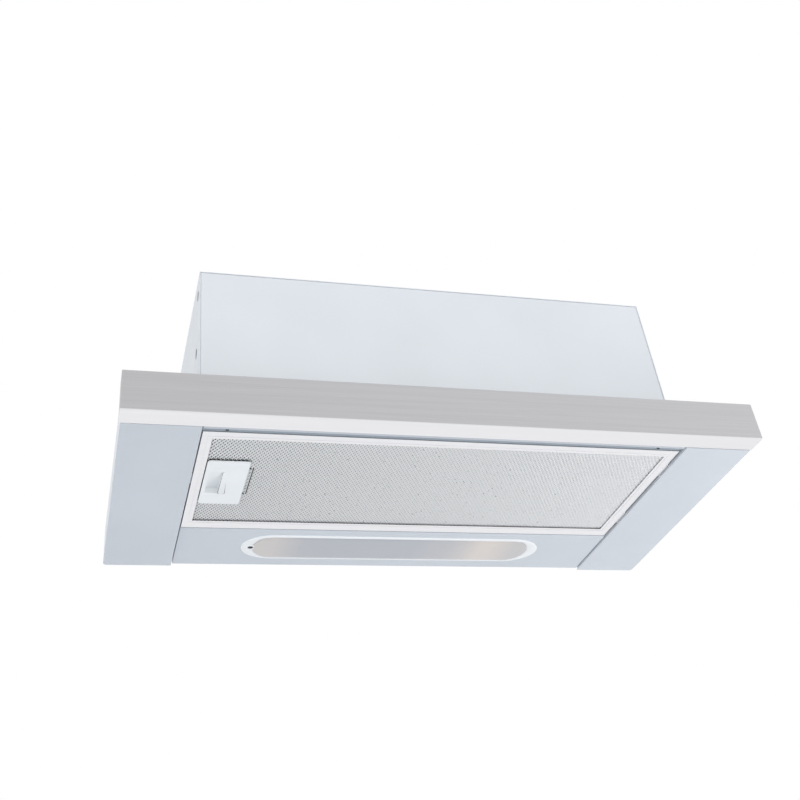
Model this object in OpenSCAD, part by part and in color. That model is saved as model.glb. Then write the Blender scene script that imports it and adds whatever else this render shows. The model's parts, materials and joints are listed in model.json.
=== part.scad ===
// Pull-out range hood: a shallow metal casing with a blower and a duct collar,
// two side wings, a hinged grease filter and a lamp panel below,
// and a drawer with a front strip that slides out on rails.
// Origin: centre of the underside. +X is right, -Y is the front, +Z is up.

/* [Overall] */
// Width of the front strip, the widest piece
hood_w = 598; // [560:1:640]
// Depth from the strip's face to the back
hood_d = 298; // [290:1:330]
// Height of the casing's top above the underside
casing_h = 181; // [176:1:220]
// Width of the upper casing over its side sheets
casing_w = 462; // [456:1:480]
// Distance of the casing's front behind the strip's face
casing_setback = 36; // [34:0.5:40]
// Thickness of the steel sheet
sheet_t = 0.8; // [0.6:0.1:1.0]

/* [Front strip] */
// Height of the front strip
strip_h = 39.5; // [36:0.5:44]
// Depth of the strip's folded flanges
strip_flange = 21.5; // [20:0.5:23]
// Outer radius of the strip's long bends
strip_bend_r = 1.6; // [1.2:0.1:2.5]
// Height of the strip's lower flange above the underside
strip_lift = 0.3; // [0.2:0.1:0.6]
// Length by which the strip runs past each wing
strip_overhang = 1.4; // [0:0.1:4]
// Gap between the strip's flange and what stays behind it
strip_gap = 0.5; // [0.3:0.1:1]

/* [Wings] */
// Height of the wings' outer skirts
skirt_h = 38; // [36:0.5:42]
// Radius of the wings' outer rear corner
wing_corner_r = 4; // [2:0.5:12]
// Height of the wings' inner flanges
wing_flange_h = 36; // [35.5:0.1:37]
// Height at which the casing's side sheets start
casing_lap_z = 14; // [13:0.5:16]

/* [Centre section] */
// Gap between the wings and the centre section
panel_gap = 2.1; // [1.5:0.1:3]
// Height of the centre section's underside above the wings' underside
panel_z = 2; // [1.8:0.1:2.4]
// Distance of the filter's front edge behind the strip's face
filter_front = 32.7; // [32.5:0.1:34]
// Front to back length of the filter
filter_len = 180.8; // [174:0.5:182]
// Clearance of the filter to its neighbours
filter_gap = 0.5; // [0.4:0.1:1]
// Thickness of the filter
filter_t = 10; // [9.6:0.1:10.2]
// Sheet thickness of the filters' frames
filter_sheet = 0.6; // [0.5:0.1:0.8]
// Width of the filter's left border
border_left = 8.3; // [8:0.1:9]
// Width of the filter's right border
border_right = 10.8; // [9:0.1:13]
// Width of the filter's front border
border_front = 11.1; // [9:0.1:13]
// Width of the filter's rear border
border_rear = 14; // [11:0.1:17]
// Number of diamond openings in one row of the filter net
net_columns = 24; // [12:1:24]
// Number of rows of diamond openings in the filter net
net_rows = 12; // [6:1:12]
// Width of the net's strands
net_strand = 1.6; // [1:0.1:3]
// Thickness of the nets
net_t = 0.8; // [0.6:0.1:1]

/* [Filter latch] */
// Distance of the handle's front edge behind the strip's face
latch_front = 81.4; // [78:0.1:84]
// Front to back length of the handle
latch_len = 79.6; // [76:0.1:84]
// Width of the handle, across the hood
latch_w = 38.6; // [36:0.1:42]
// Thickness of the handle's plate
latch_plate_t = 1.3; // [1.1:0.1:1.4]
// Depth of the finger pocket at its rear wall
pocket_depth = 7; // [5.5:0.1:7.4]
// Width of the finger pocket
pocket_w = 12.5; // [11:0.1:13]
// Length of the finger pocket
pocket_len = 41; // [36:0.5:44]
// Travel of the latch
latch_travel = 4; // [3:0.1:4.5]
// Width of the latch's tongue
tongue_w = 18; // [12:0.5:24]
// Thickness of the latch's tongue
tongue_t = 3; // [2:0.1:3.2]
// Diameter of the latch spring
spring_d = 5; // [4:0.1:5.4]
// Diameter of the spring's wire
spring_wire = 0.7; // [0.5:0.1:0.9]

/* [Lamp panel] */
// Length of the lamp cover
cover_len = 325; // [300:1:340]
// Width of the lamp cover
cover_w = 53.5; // [50:0.5:56]
// Distance of the lamp cover's middle behind the strip's face
cover_mid = 253.8; // [252:0.1:256]
// Length over which each end of the cover is rounded
cover_nose = 34; // [27:1:45]
// Thickness of the cover's lens and rim
cover_t = 0.7; // [0.6:0.1:0.8]
// Diameter of a lamp's bulb
bulb_d = 25; // [20:0.5:28]
// Length of a lamp's bulb
bulb_len = 62; // [50:1:80]
// Height of the lamp reflector
reflector_h = 37; // [34:0.5:37]

/* [Drawer] */
// Travel of the drawer
drawer_travel = 160; // [80:1:165]
// Height of the rails
rail_h = 20; // [19:0.1:20.4]
// Depth of the outer rails, across the hood
rail_d = 7; // [6.6:0.1:7.4]
// Distance of the outer rails' rear ends from the hood's back
rail_rear_gap = 8; // [6:0.5:20]
// Running gap of the rails
rail_gap = 0.3; // [0.2:0.05:0.4]
// Thickness of the drawer's filter
drawer_filter_t = 8; // [6:0.5:9]
// Diameter of the front bar's screws
bar_screw_d = 3; // [2.5:0.1:4]

/* [Blower] */
// Outer radius of the impeller
impeller_r = 48; // [44:0.5:48.5]
// Length of the impeller
impeller_len = 84; // [70:1:85]
// Number of impeller blades
blades = 32; // [16:1:36]
// Radial depth of the blades
blade_depth = 9; // [7:0.5:10]
// Thickness of the blades
blade_t = 1; // [0.8:0.1:1.4]
// Width of the volute over its side walls
volute_w = 92; // [91:0.5:100]
// Wall of the volute
volute_wall = 1.5; // [1.2:0.1:2]
// Radius of the volute's inlets
inlet_r = 40; // [36:0.5:42]
// Growth of the scroll's radius in each quarter turn
scroll_step = 8; // [6:0.5:8]
// Diameter of the motor
motor_d = 60; // [50:1:64]
// Diameter of the motor shaft
shaft_d = 8; // [6:0.5:10]

/* [Duct collar] */
// Outer diameter of the duct collar
collar_d = 120; // [118:0.5:125]
// Height of the duct collar above the casing
collar_h = 40; // [34:1:60]
// Wall of the duct collar
collar_wall = 2.5; // [2:0.1:3]
// Distance of the collar's middle behind the strip's face
collar_mid = 170; // [166:1:174]
// Thickness of the two flaps
flap_t = 1.5; // [1.2:0.1:2]
// Diameter of the flap pin
flap_pin_d = 4; // [3:0.1:5]

/* [Controls] */
// Width of the switch block
switch_w = 52; // [48:1:56]
// Height of the switch block
switch_h = 28; // [24:0.5:30]
// Travel of the fan speed slider
fan_travel = 12; // [9:0.5:13]
// Travel of the light slider
light_travel = 6; // [4:0.5:7]

/* [Fixings] */
// Distance between the two wall holes
wall_hole_span = 360; // [300:1:380]
// Diameter of the wall holes
wall_hole_d = 6.5; // [5:0.1:8]
// Height of the wall holes
wall_hole_z = 150; // [130:1:160]
// Diameter of the fixing holes in the casing's sides
side_hole_d = 10.5; // [8:0.5:12]
// Diameter of the cable gland's bore
gland_bore = 8; // [6:0.5:9]

/* [Hidden] */
$fn = 64;

eps = 0.01;             // overlap of a cut with the face it opens
seat = 0.3;             // gap between pieces that rest on or slide past each other
cut = 1;                // length by which a cut runs past a sheet

// Planes from front to back
front_y = -hood_d / 2;
back_y = hood_d / 2;
back_in_y = back_y - sheet_t;
function behind(d) = front_y + d;
casing_front_y = behind(casing_setback);
wing_front_y = behind(strip_flange + strip_gap);

// Planes from the middle to the right
casing_x = casing_w / 2;
side_in_x = casing_x - sheet_t;
wing_in_x = side_in_x - sheet_t;
panel_x = wing_in_x - panel_gap;
wing_out_x = hood_w / 2 - strip_overhang;

// Heights
top_in_z = casing_h - sheet_t;
cover_low_z = strip_h;

// Filter
filter_x = panel_x - filter_gap;
filter_y0 = behind(filter_front);
filter_y1 = filter_y0 + filter_len;
filter_z0 = panel_z;
filter_z1 = filter_z0 + filter_t;
filter_in_z0 = filter_z0 + filter_sheet;
filter_in_z1 = filter_z1 - filter_sheet;
net_gap = 0.1;          // gap of the nets and the core inside the filter's frame
win_x0 = -filter_x + border_left;
win_x1 = filter_x - border_right;
win_y0 = filter_y0 + border_front;
win_y1 = filter_y1 - border_rear;

// Filter hinge tabs, which turn in slots of the right wing
tab_len = 20;
tab_t = 1;
tab_reach = 1.8;        // length of a tab past the wing's inner flange
tab_z = panel_z + 1;    // height of the hinge line
tab_front = 72;
tab_rear = 174;
tab_ys = [behind(tab_front), behind(tab_rear)];
tab_slot_down = 1.8;
tab_slot_up = 2.2;
tab_side_gap = 0.5;

// Latch
latch_gap = 0.9;        // dark gap between the handle and the filter's border
latch_x0 = win_x0 + latch_gap;
latch_x1 = latch_x0 + latch_w;
latch_y0 = behind(latch_front);
latch_y1 = latch_y0 + latch_len;
latch_z1 = filter_in_z0 - seat;
latch_z0 = latch_z1 - latch_plate_t;
latch_corner_r = 3;
pocket_wall = 1.4;
pocket_x0 = latch_x0 + 3.6;
pocket_x1 = pocket_x0 + pocket_w;
pocket_y0 = latch_y0 + 18.6;
pocket_y1 = pocket_y0 + pocket_len;
pocket_z1 = latch_z0 + pocket_depth;
shell_x0 = pocket_x0 - pocket_wall;
shell_x1 = pocket_x1 + pocket_wall;
shell_y0 = pocket_y0 - pocket_wall;
shell_y1 = pocket_y1 + pocket_wall;
shell_z1 = pocket_z1 + pocket_wall;
grip_w = 6;
grip_rise = 0.5;        // height of the grip rib below the handle's plate
tongue_y = (pocket_y0 + pocket_y1) / 2;
tongue_z0 = filter_in_z0 + net_t + 1.6;
tongue_reach = 1.4;     // length of the tongue past the wing's inner flange
housing_wall = 1;
housing_x0 = win_x0 + 0.6;
housing_x1 = shell_x1 + 26;
housing_y0 = shell_y0 - housing_wall - 1.4;
housing_y1 = shell_y1 + housing_wall + 1.4;
housing_z0 = filter_in_z0 + net_t;
housing_z1 = filter_in_z1;
latch_win_x0 = shell_x0 - 0.6;
latch_win_x1 = shell_x1 + latch_travel + 0.6;
spring_turns = 9;

// Rails and drawer
rail_z0 = casing_lap_z;
rail_z1 = rail_z0 + rail_h;
rail_x0 = wing_in_x - rail_d;
rail_set = 36;
rail_y0 = behind(rail_set);
rail_len = hood_d - rail_set - rail_rear_gap;
rail_lip = 3.2;
inner_rail_w = 4.3;
inner_neck_h = 10;
inner_rail_setback = 34;
inner_rail_len = rail_len - 2;
inner_neck_x0 = rail_x0 - 3.2;
groove_r = 1.2;
arm_x1 = inner_neck_x0;
arm_x0 = arm_x1 - sheet_t;
bar_depth = 32;
pan_front_y = behind(bar_depth);
pan_z1 = strip_h - 2.4;
pan_z0 = pan_z1 - sheet_t;
lip_w = 9;
lip_z1 = filter_z1 + 2;
lip_z0 = lip_z1 - sheet_t;
drawer_filter_x = arm_x0 - seat;
drawer_top_len = drawer_travel + 45;
drawer_filter_len = drawer_travel - 6;
drawer_filter_y0 = behind(rail_set);
drawer_filter_y1 = drawer_filter_y0 + drawer_filter_len;
drawer_filter_border = 10;
bar_gap = 1;            // gap between the bar's ends and the wings
bar_x = wing_in_x - bar_gap;
bar_step = 4.5;         // depth of the bar's lower step behind the strip's flange
bar_low_z = strip_lift + sheet_t;
bar_high_z = bar_low_z + 1.7;
bar_top_z = pan_z0;
bar_screw_span = 410;
bar_screw_shift = -2.8;  // the pair of screws sits a little to the left
bar_screw_set = 2;      // distance of the bar's screws behind its step
bar_screw_y = behind(strip_flange + bar_step + bar_screw_set);
bar_screw_xs = [bar_screw_shift - bar_screw_span / 2, bar_screw_shift + bar_screw_span / 2];
screw_gap = 0.1;        // radial gap of a screw in its hole
bar_screw_len = 6;
bar_head_r = bar_screw_d / 2 + 0.3;
bar_head_t = 1.2;
bar_cross_w = 0.5;      // width of the cross in a screw's head
bar_cross_deep = 0.6;

// Lamp panel
panel_y0 = filter_y1 + 1.5;
panel_flange_h = 10.2;
bead_w = 2.2;
bead_h = 0.5;
bead_y = panel_y0 + 3;
cover_x = -0.8;
cover_y = behind(cover_mid);
cover_lip = 6;          // width of the cover's rim over the panel
cover_rim = 3;
cover_screw_x = cover_x - cover_len / 2 + 10;
cover_screw_d = 3;
cover_screw_len = 5;
cover_z0 = panel_z - 2 * cover_t;
reflector_wall = 0.6;
reflector_x = cover_len / 2 - 0.5;
reflector_y = cover_w / 2 - 2;
reflector_z0 = panel_z + sheet_t;
lamp_z = reflector_z0 + 18;
holder_d = 28;
holder_len = 32;
socket_d = 14;
socket_len = 20;

// Duct collar
collar_y = behind(collar_mid);
collar_r = collar_d / 2;
collar_in_r = collar_r - collar_wall;
collar_base_r = collar_r + 12;
collar_base_t = 2;
outlet_hole_r = collar_in_r - 1.5;
ledge_w = 4.5;
ledge_t = 2;
ledge_z0 = casing_h + 5;
flap_z = ledge_z0 + ledge_t + seat + flap_t / 2;
flap_r = collar_in_r - 1;
flap_pin_r = flap_pin_d / 2;
knuckle_gap = 0.1;
knuckle_r = flap_pin_r + 1.6;
flap_root = knuckle_r + 0.6;
knuckle_len = 12;
rear_knuckle_x = 18;
front_knuckle_x = 32;
mid_knuckle_len = 16;

// Blower
blower_ahead = 44;      // distance of the blower's shaft ahead of the collar
blower_rise = 68.5;       // height of the shaft above the strip's top
blower_y = collar_y - blower_ahead;
blower_z = strip_h + blower_rise;
scroll_r = impeller_r + scroll_step;
throat_y0 = 12;
throat_w = 64;
cutoff_gap = 3;
volute_x = volute_w / 2;
volute_flange_r = outlet_hole_r + 10;
volute_flange_t = 2;
hub_r = 10;
hub_x0 = -14;
hub_x1 = 3;
disc_t = 2;
ring_t = 2;
blade_curve_r = blade_depth;
shaft_r = shaft_d / 2;
shaft_gap = 0.05;
motor_x0 = 5;
bush_t = 5;
bush_r = 4;
bush_ring_r = inlet_r + 7;
motor_x1 = volute_x + bush_t;
motor_r = motor_d / 2;
bracket_t = 2;
bush_angles = [90, 210, 330];

// Connection box and gland
box_x = -165;
box_rear_gap = 43;      // distance of the box's middle from the hood's back
box_y = back_y - box_rear_gap;
box_len = 70;
box_wide = 50;
box_high = 40;
box_wall = 2;
gland_r = gland_bore / 2 + 2;
gland_head_r = gland_r + 4;
gland_h = 15;
capacitor_x = 100;
capacitor_r = 15;
capacitor_h = 45;
capacitor_stud_r = 5;
capacitor_stud_h = 4;

// Controls
switch_x0 = casing_x + 6;
switch_y0 = behind(8);
switch_z0 = (strip_h - switch_h) / 2 + 1;
switch_wall = 1.2;
stem = 4;
stem_gap = 0.3;
knob_w = 8;
knob_d = 3;
keeper_d = 2;
fan_x = switch_x0 + 8;
light_x = switch_x0 + switch_w - 18;

// Switch that the drawer's left arm presses when it is shut
micro_w = 12;
micro_h = 14;
micro_out = 3;          // reach of the switch outside the arm
micro_rise = 2;         // height of the switch above the rails' underside
plunger_w = 4;
plunger_len = 1.5;

// Screws of the casing
casing_screw_r = 1.7;
casing_head_r = 3.5;
casing_head_t = 2;
casing_cross_w = 0.8;   // width and depth of the cross in a screw's head
casing_screw_len = 6;
lip_depth = 12;         // depth of the folded lips inside the casing
side_screw_zs = [casing_h - 121, casing_h - 71, casing_h - 21];
side_hole_low = [62, casing_h - 78.5];      // distance behind the strip's face, and height
side_hole_high = [51, casing_h - 18.5];
top_screw_xs = [-150, 0, 150];
lip_gap = 1;            // gap between the top's folded flange and the lips beside it
closing_z0 = max(wing_flange_h + 3, cover_low_z);
fold_r = 1.2;           // outer radius of the front cover's folds

// Colours
steel_c = [0.72, 0.73, 0.74];
paint_c = [0.84, 0.86, 0.88];
alu_c = [0.88, 0.89, 0.90];
white_c = [0.92, 0.93, 0.94];
dark_c = [0.16, 0.17, 0.18];
zinc_c = [0.68, 0.70, 0.72];

// A block between two [low, high] pairs on each axis
module block(x, y, z)
    translate([x[0], y[0], z[0]])
        cube([x[1] - x[0], y[1] - y[0], z[1] - z[0]]);

// The same piece on both sides, x above zero being drawn
module both_sides() {
    children();
    mirror([1, 0, 0]) children();
}

// Extrude a profile drawn in Y and Z along X
module along_x(x0, x1)
    translate([x0, 0, 0])
        rotate([90, 0, 90])
            linear_extrude(x1 - x0) children();

// Extrude a profile drawn in X and Z along Y
module along_y(y0, y1)
    translate([0, y1, 0])
        rotate([90, 0, 0])
            linear_extrude(y1 - y0) children();

// A cylinder along X from x0 to x1
module rod_x(r, x0, x1)
    translate([x0, 0, 0]) rotate([0, 90, 0]) cylinder(r = r, h = x1 - x0);

// A rectangle with round corners, from [x, y] pairs
module round_box_2d(x, y, r) {
    translate([x[0] + r, y[0]]) square([x[1] - x[0] - 2 * r, y[1] - y[0]]);
    translate([x[0], y[0] + r]) square([x[1] - x[0], y[1] - y[0] - 2 * r]);
    for (cx = [x[0] + r, x[1] - r], cy = [y[0] + r, y[1] - r])
        translate([cx, cy]) circle(r);
}

// ---- Casing ----

// The top sheet, with a flange folded down inside each side sheet
module casing_top() {
    flange_y0 = casing_front_y + sheet_t + lip_depth + lip_gap;
    color(paint_c)
    difference() {
        union() {
            block([-casing_x, casing_x], [casing_front_y, back_in_y], [top_in_z, casing_h]);
            both_sides()
                block([side_in_x - sheet_t, side_in_x], [flange_y0, back_in_y - lip_depth - lip_gap],
                    [top_in_z - lip_depth, top_in_z + eps]);
        }
        translate([0, collar_y, top_in_z - cut]) cylinder(r = outlet_hole_r, h = sheet_t + 2 * cut);
        translate([box_x, box_y, top_in_z - cut]) cylinder(r = gland_r + screw_gap, h = sheet_t + 2 * cut);
        casing_screw_places() cylinder(r = casing_screw_r + screw_gap, h = 2 * cut, center = true);
    }
}

// A right side sheet, which hangs from the top down into the wing
module side_sheet() {
    color(paint_c)
    difference() {
        block([side_in_x, casing_x], [casing_front_y, back_in_y], [casing_lap_z, top_in_z]);
        side_holes();
        casing_screw_places() cylinder(r = casing_screw_r + screw_gap, h = 2 * cut, center = true);
    }
}

module left_side_sheet() { mirror([1, 0, 0]) side_sheet(); }
module right_side_sheet() { side_sheet(); }

// Two fixing holes in each side sheet, one near the top and one half way
module side_holes() {
    for (p = [side_hole_low, side_hole_high])
        translate([0, behind(p[0]), p[1]])
            rod_x(side_hole_d / 2, side_in_x - sheet_t - eps, casing_x + cut);
}

// Places of the casing's screws, z pointing out of the sheet
module casing_screw_places() {
    both_sides()
        for (z = side_screw_zs)
            translate([casing_x, back_in_y - lip_depth / 2, z]) rotate([0, 90, 0]) children();
    for (x = top_screw_xs, y = [casing_front_y + sheet_t + lip_depth / 2, back_in_y - lip_depth / 2])
        translate([x, y, casing_h]) children();
}

module casing_screws() {
    color(steel_c)
    casing_screw_places() {
        difference() {
            cylinder(r1 = casing_head_r, r2 = casing_head_r - 1, h = casing_head_t);
            for (a = [0, 90])
                rotate(a)
                    block([-casing_head_r / 2, casing_head_r / 2], [-casing_cross_w / 2, casing_cross_w / 2],
                        [casing_head_t - casing_cross_w, casing_head_t + cut]);
        }
        translate([0, 0, -casing_screw_len])
            cylinder(r = casing_screw_r, h = casing_screw_len + eps);
    }
}

// Folded lips of the sheet that closes the casing's front or back
module closing_lips(y0, y1) {
    both_sides() block([side_in_x - sheet_t, side_in_x], [y0, y1], [closing_z0, top_in_z]);
    block([-side_in_x, side_in_x], [y0, y1], [top_in_z - sheet_t, top_in_z]);
}

module front_cover() {
    color(paint_c)
    difference() {
        union() {
            closing_lips(casing_front_y, casing_front_y + sheet_t + lip_depth);
            block([-side_in_x, side_in_x], [casing_front_y, casing_front_y + sheet_t],
                [cover_low_z, top_in_z]);
            block([-wing_in_x, wing_in_x], [casing_front_y, casing_front_y + lip_depth],
                [cover_low_z, cover_low_z + sheet_t]);
        }
        casing_screw_places()
            cylinder(r = casing_screw_r + screw_gap, h = 2 * casing_screw_len, center = true);
        both_sides() {
            side_holes();
            translate([side_in_x, casing_front_y, cover_low_z - cut])
                mirror([1, 0, 0]) linear_extrude(casing_h) fold_waste_2d();
        }
        along_x(-casing_x, casing_x)
            translate([casing_front_y, top_in_z]) mirror([0, 1]) fold_waste_2d();
    }
}

// What a round fold leaves away from a square corner at [0, 0]
module fold_waste_2d()
    difference() {
        translate([-eps, -eps]) square(fold_r + eps);
        translate([fold_r, fold_r]) circle(fold_r);
    }

module back_panel() {
    color(paint_c)
    difference() {
        union() {
            closing_lips(back_in_y - lip_depth, back_in_y + eps);
            block([-casing_x, casing_x], [back_in_y, back_y], [casing_lap_z, casing_h]);
        }
        casing_screw_places()
            cylinder(r = casing_screw_r + screw_gap, h = 2 * casing_screw_len, center = true);
        for (x = [-1, 1])
            translate([x * wall_hole_span / 2, back_in_y - 2 * cut, wall_hole_z])
                rotate([-90, 0, 0]) cylinder(d = wall_hole_d, h = sheet_t + 4 * cut);
    }
}

// ---- Wings ----

// Outline of a right wing seen from above, moved in by g on its open sides
module wing_outline(g) {
    r = wing_corner_r - g;
    x0 = wing_in_x + g;
    x1 = wing_out_x - g;
    y0 = wing_front_y + g;
    y1 = back_y - g;
    translate([x0, y0]) square([x1 - x0 - r, y1 - y0]);
    translate([x0, y0]) square([x1 - x0, y1 - y0 - r]);
    translate([x1 - r, y1 - r]) circle(r);
}

// A right wing: a tray with an outer skirt and an inner flange
module wing_tray() {
    difference() {
        linear_extrude(skirt_h) wing_outline(0);
        translate([0, 0, sheet_t]) linear_extrude(skirt_h) wing_outline(sheet_t);
        // the inner flange is lower, and stops at the back panel
        block([wing_in_x - cut, casing_x + seat], [wing_front_y - cut, back_y + cut],
            [wing_flange_h, skirt_h + cut]);
        block([wing_in_x - cut, casing_x + seat], [back_in_y, back_y + cut],
            [sheet_t, skirt_h + cut]);
    }
}

module left_wing() {
    color(paint_c)
    difference() {
        mirror([1, 0, 0]) wing_tray();
        block([-side_in_x - cut, -wing_in_x + cut],
            [tongue_y - tongue_w / 2 - seat, tongue_y + tongue_w / 2 + seat],
            [tongue_z0 - seat, tongue_z0 + tongue_t + seat]);
    }
}

module right_wing() {
    color(paint_c)
    difference() {
        wing_tray();
        for (y = tab_ys)
            block([wing_in_x - cut, side_in_x + cut],
                [y - tab_len / 2 - tab_side_gap, y + tab_len / 2 + tab_side_gap],
                [tab_z - tab_slot_down, tab_z + tab_slot_up]);
    }
}

// ---- Lamp panel and lamps ----

// Outline of the lamp cover, moved in by g: straight sides and elliptic ends
module cover_outline(g) {
    a = cover_nose - g;
    b = cover_w / 2 - g;
    half = cover_len / 2 - cover_nose;
    steps = 24;
    polygon(concat(
        [for (i = [0 : steps]) let (t = -90 + 180 * i / steps) [half + a * cos(t), b * sin(t)]],
        [for (i = [0 : steps]) let (t = 90 + 180 * i / steps) [-half + a * cos(t), b * sin(t)]]
    ));
}

module at_cover(z)
    translate([cover_x, cover_y, z]) children();

module lamp_panel() {
    y1 = back_in_y;
    up = [panel_z, panel_z + panel_flange_h];
    color(paint_c)
    difference() {
        union() {
            block([-panel_x, panel_x], [panel_y0, y1], [panel_z, panel_z + sheet_t]);
            block([-panel_x, panel_x], [panel_y0, panel_y0 + sheet_t], up);
            both_sides() block([panel_x - sheet_t, panel_x], [panel_y0, y1], up);
            block([-panel_x, panel_x], [y1 - sheet_t, y1], [panel_z, casing_lap_z + 16]);
            // pressed bead behind the filter
            block([-panel_x, panel_x], [bead_y, bead_y + bead_w], [panel_z - bead_h, panel_z + eps]);
        }
        at_cover(panel_z - cut) linear_extrude(sheet_t + 2 * cut) cover_outline(cover_lip + 4);
        translate([cover_screw_x, cover_y, panel_z - cut])
            cylinder(d = cover_screw_d + 2 * screw_gap, h = sheet_t + 2 * cut);
    }
}

module lamp_cover() {
    color([0.80, 0.81, 0.83, 0.7])
    difference() {
        at_cover(cover_z0) {
            translate([0, 0, cover_t]) linear_extrude(cover_t) cover_outline(0);
            linear_extrude(cover_t + eps) cover_outline(cover_rim);
        }
        at_cover(cover_z0 + cover_t)
            linear_extrude(cover_t + cut) cover_outline(cover_lip + 4);
        translate([cover_screw_x, cover_y, cover_z0 - cut])
            cylinder(d = cover_screw_d + 2 * screw_gap, h = 2 * cover_t + 2 * cut);
        translate([cover_screw_x, cover_y, cover_z0 - cut])
            cylinder(r = cover_screw_d, h = cut + cover_t);
    }
}

module lamp_cover_screw() {
    color(steel_c)
    translate([cover_screw_x, cover_y, cover_z0]) {
        cylinder(d = 2 * cover_screw_d - 2 * seat, h = cover_t);
        cylinder(d = cover_screw_d, h = cover_screw_len);
    }
}

module lamp_reflector() {
    x = [cover_x - reflector_x, cover_x + reflector_x];
    y = [cover_y - reflector_y, cover_y + reflector_y];
    r = 8;
    hole = cover_len / 2 - cover_nose;
    color([0.93, 0.94, 0.95])
    difference() {
        translate([0, 0, reflector_z0]) linear_extrude(reflector_h) round_box_2d(x, y, r);
        translate([0, 0, reflector_z0 - cut])
            linear_extrude(reflector_h + cut - reflector_wall)
                round_box_2d([x[0] + reflector_wall, x[1] - reflector_wall],
                    [y[0] + reflector_wall, y[1] - reflector_wall], r - reflector_wall);
        // row of cooling slots in the roof
        for (i = [-5 : 5])
            translate([cover_x + i * hole / 6, cover_y, reflector_z0 + reflector_h - cut])
                linear_extrude(2 * cut) round_box_2d([-2, 2], [-12, 12], 1.9);
    }
}

// A lamp holder on the left end of the reflector, its socket facing right
module lamp_holder() {
    x0 = -reflector_x + reflector_wall;
    color([0.95, 0.95, 0.94])
    translate([cover_x, cover_y, lamp_z])
        difference() {
            union() {
                rod_x(holder_d / 2, x0 + 10, x0 + holder_len);
                rod_x(holder_d / 2 - 3, x0, x0 + 10);
            }
            rod_x(socket_d / 2 + shaft_gap, x0 + holder_len - socket_len, x0 + holder_len + cut);
        }
}

// A tubular lamp in the left holder
module lamp() {
    x0 = -reflector_x + reflector_wall + holder_len;
    r = bulb_d / 2;
    color([0.98, 0.95, 0.86])
    translate([cover_x, cover_y, lamp_z]) {
        rod_x(socket_d / 2, x0 - socket_len, x0 + eps);
        translate([x0, 0, 0]) rotate([0, 90, 0]) cylinder(r1 = socket_d / 2, r2 = r, h = 6);
        rod_x(r, x0 + 6, x0 + bulb_len - r);
        translate([x0 + bulb_len - r, 0, 0])
            rotate([0, 90, 0])
                rotate_extrude()
                    intersection() {
                        circle(r);
                        square(r);
                    }
    }
}

// Mirror a piece about the middle of the lamp cover
module other_end()
    translate([2 * cover_x, 0, 0]) mirror([1, 0, 0]) children();

module left_lamp_holder() { lamp_holder(); }
module right_lamp_holder() { other_end() lamp_holder(); }
module left_lamp() { lamp(); }
module right_lamp() { other_end() lamp(); }

// ---- Rails ----

// Right outer rail: a channel with lips, its web on the wing's inner flange
module outer_rail() {
    difference() {
        block([rail_x0, wing_in_x], [rail_y0, rail_y0 + rail_len], [rail_z0, rail_z1]);
        block([rail_x0 + sheet_t, wing_in_x - sheet_t], [rail_y0 - cut, rail_y0 + rail_len + cut],
            [rail_z0 + sheet_t, rail_z1 - sheet_t]);
        block([rail_x0 - cut, rail_x0 + cut], [rail_y0 - cut, rail_y0 + rail_len + cut],
            [rail_z0 + rail_lip, rail_z1 - rail_lip]);
    }
}

// Right inner rail: a grooved slider in the channel, and a neck to the drawer
module inner_rail() {
    x1 = wing_in_x - sheet_t - rail_gap;
    z0 = rail_z0 + sheet_t + rail_gap;
    z1 = rail_z1 - sheet_t - rail_gap;
    zm = (z0 + z1) / 2;
    xm = x1 - inner_rail_w / 2;
    y0 = behind(inner_rail_setback);
    along_y(y0, y0 + inner_rail_len)
        difference() {
            union() {
                translate([x1 - inner_rail_w, z0]) square([inner_rail_w, z1 - z0]);
                translate([inner_neck_x0, zm - inner_neck_h / 2])
                    square([x1 - inner_rail_w - inner_neck_x0 + eps, inner_neck_h]);
            }
            for (z = [z0, z1])
                translate([xm, z]) circle(groove_r);
        }
}

module left_outer_rail() { color(zinc_c) mirror([1, 0, 0]) outer_rail(); }
module right_outer_rail() { color(zinc_c) outer_rail(); }
module left_inner_rail() { color(zinc_c) mirror([1, 0, 0]) inner_rail(); }
module right_inner_rail() { color(zinc_c) inner_rail(); }

// ---- Drawer ----

module front_strip() {
    y = [front_y, behind(strip_flange)];
    z = [strip_lift, strip_h];
    x1 = hood_w / 2;
    t = sheet_t;
    color(steel_c) {
        along_x(-x1, x1)
            difference() {
                strip_section(0);
                strip_section(t);
            }
        both_sides() along_x(x1 - t, x1) strip_section(0);
    }
}

// Section of the front strip, moved in by g from its face and flanges
module strip_section(g) {
    r = strip_bend_r - g;
    intersection() {
        round_box_2d([front_y + g, behind(2 * strip_flange)], [strip_lift + g, strip_h - g], r);
        translate([front_y, 0]) square([strip_flange, strip_h]);
    }
}

module drawer_front_bar() {
    color(zinc_c)
    difference() {
        along_x(-bar_x, bar_x)
            difference() {
                bar_section(0);
                bar_section(sheet_t);
            }
        for (x = bar_screw_xs)
            translate([x, bar_screw_y, 0])
                cylinder(r = bar_screw_d / 2 + screw_gap, h = bar_high_z + 2 * cut);
    }
}

// Section of the drawer's front bar, moved in by g, with its stepped underside
module bar_section(g) {
    y0 = front_y + sheet_t + g;
    y1 = pan_front_y - g;
    ys = behind(strip_flange + bar_step) - g;
    c = strip_bend_r;
    polygon([
        [y0, bar_low_z + g + c], [y0 + c, bar_low_z + g], [ys, bar_low_z + g], [ys, bar_high_z + g],
        [y1, bar_high_z + g], [y1, bar_top_z - g], [y0, bar_top_z - g]
    ]);
}

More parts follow.
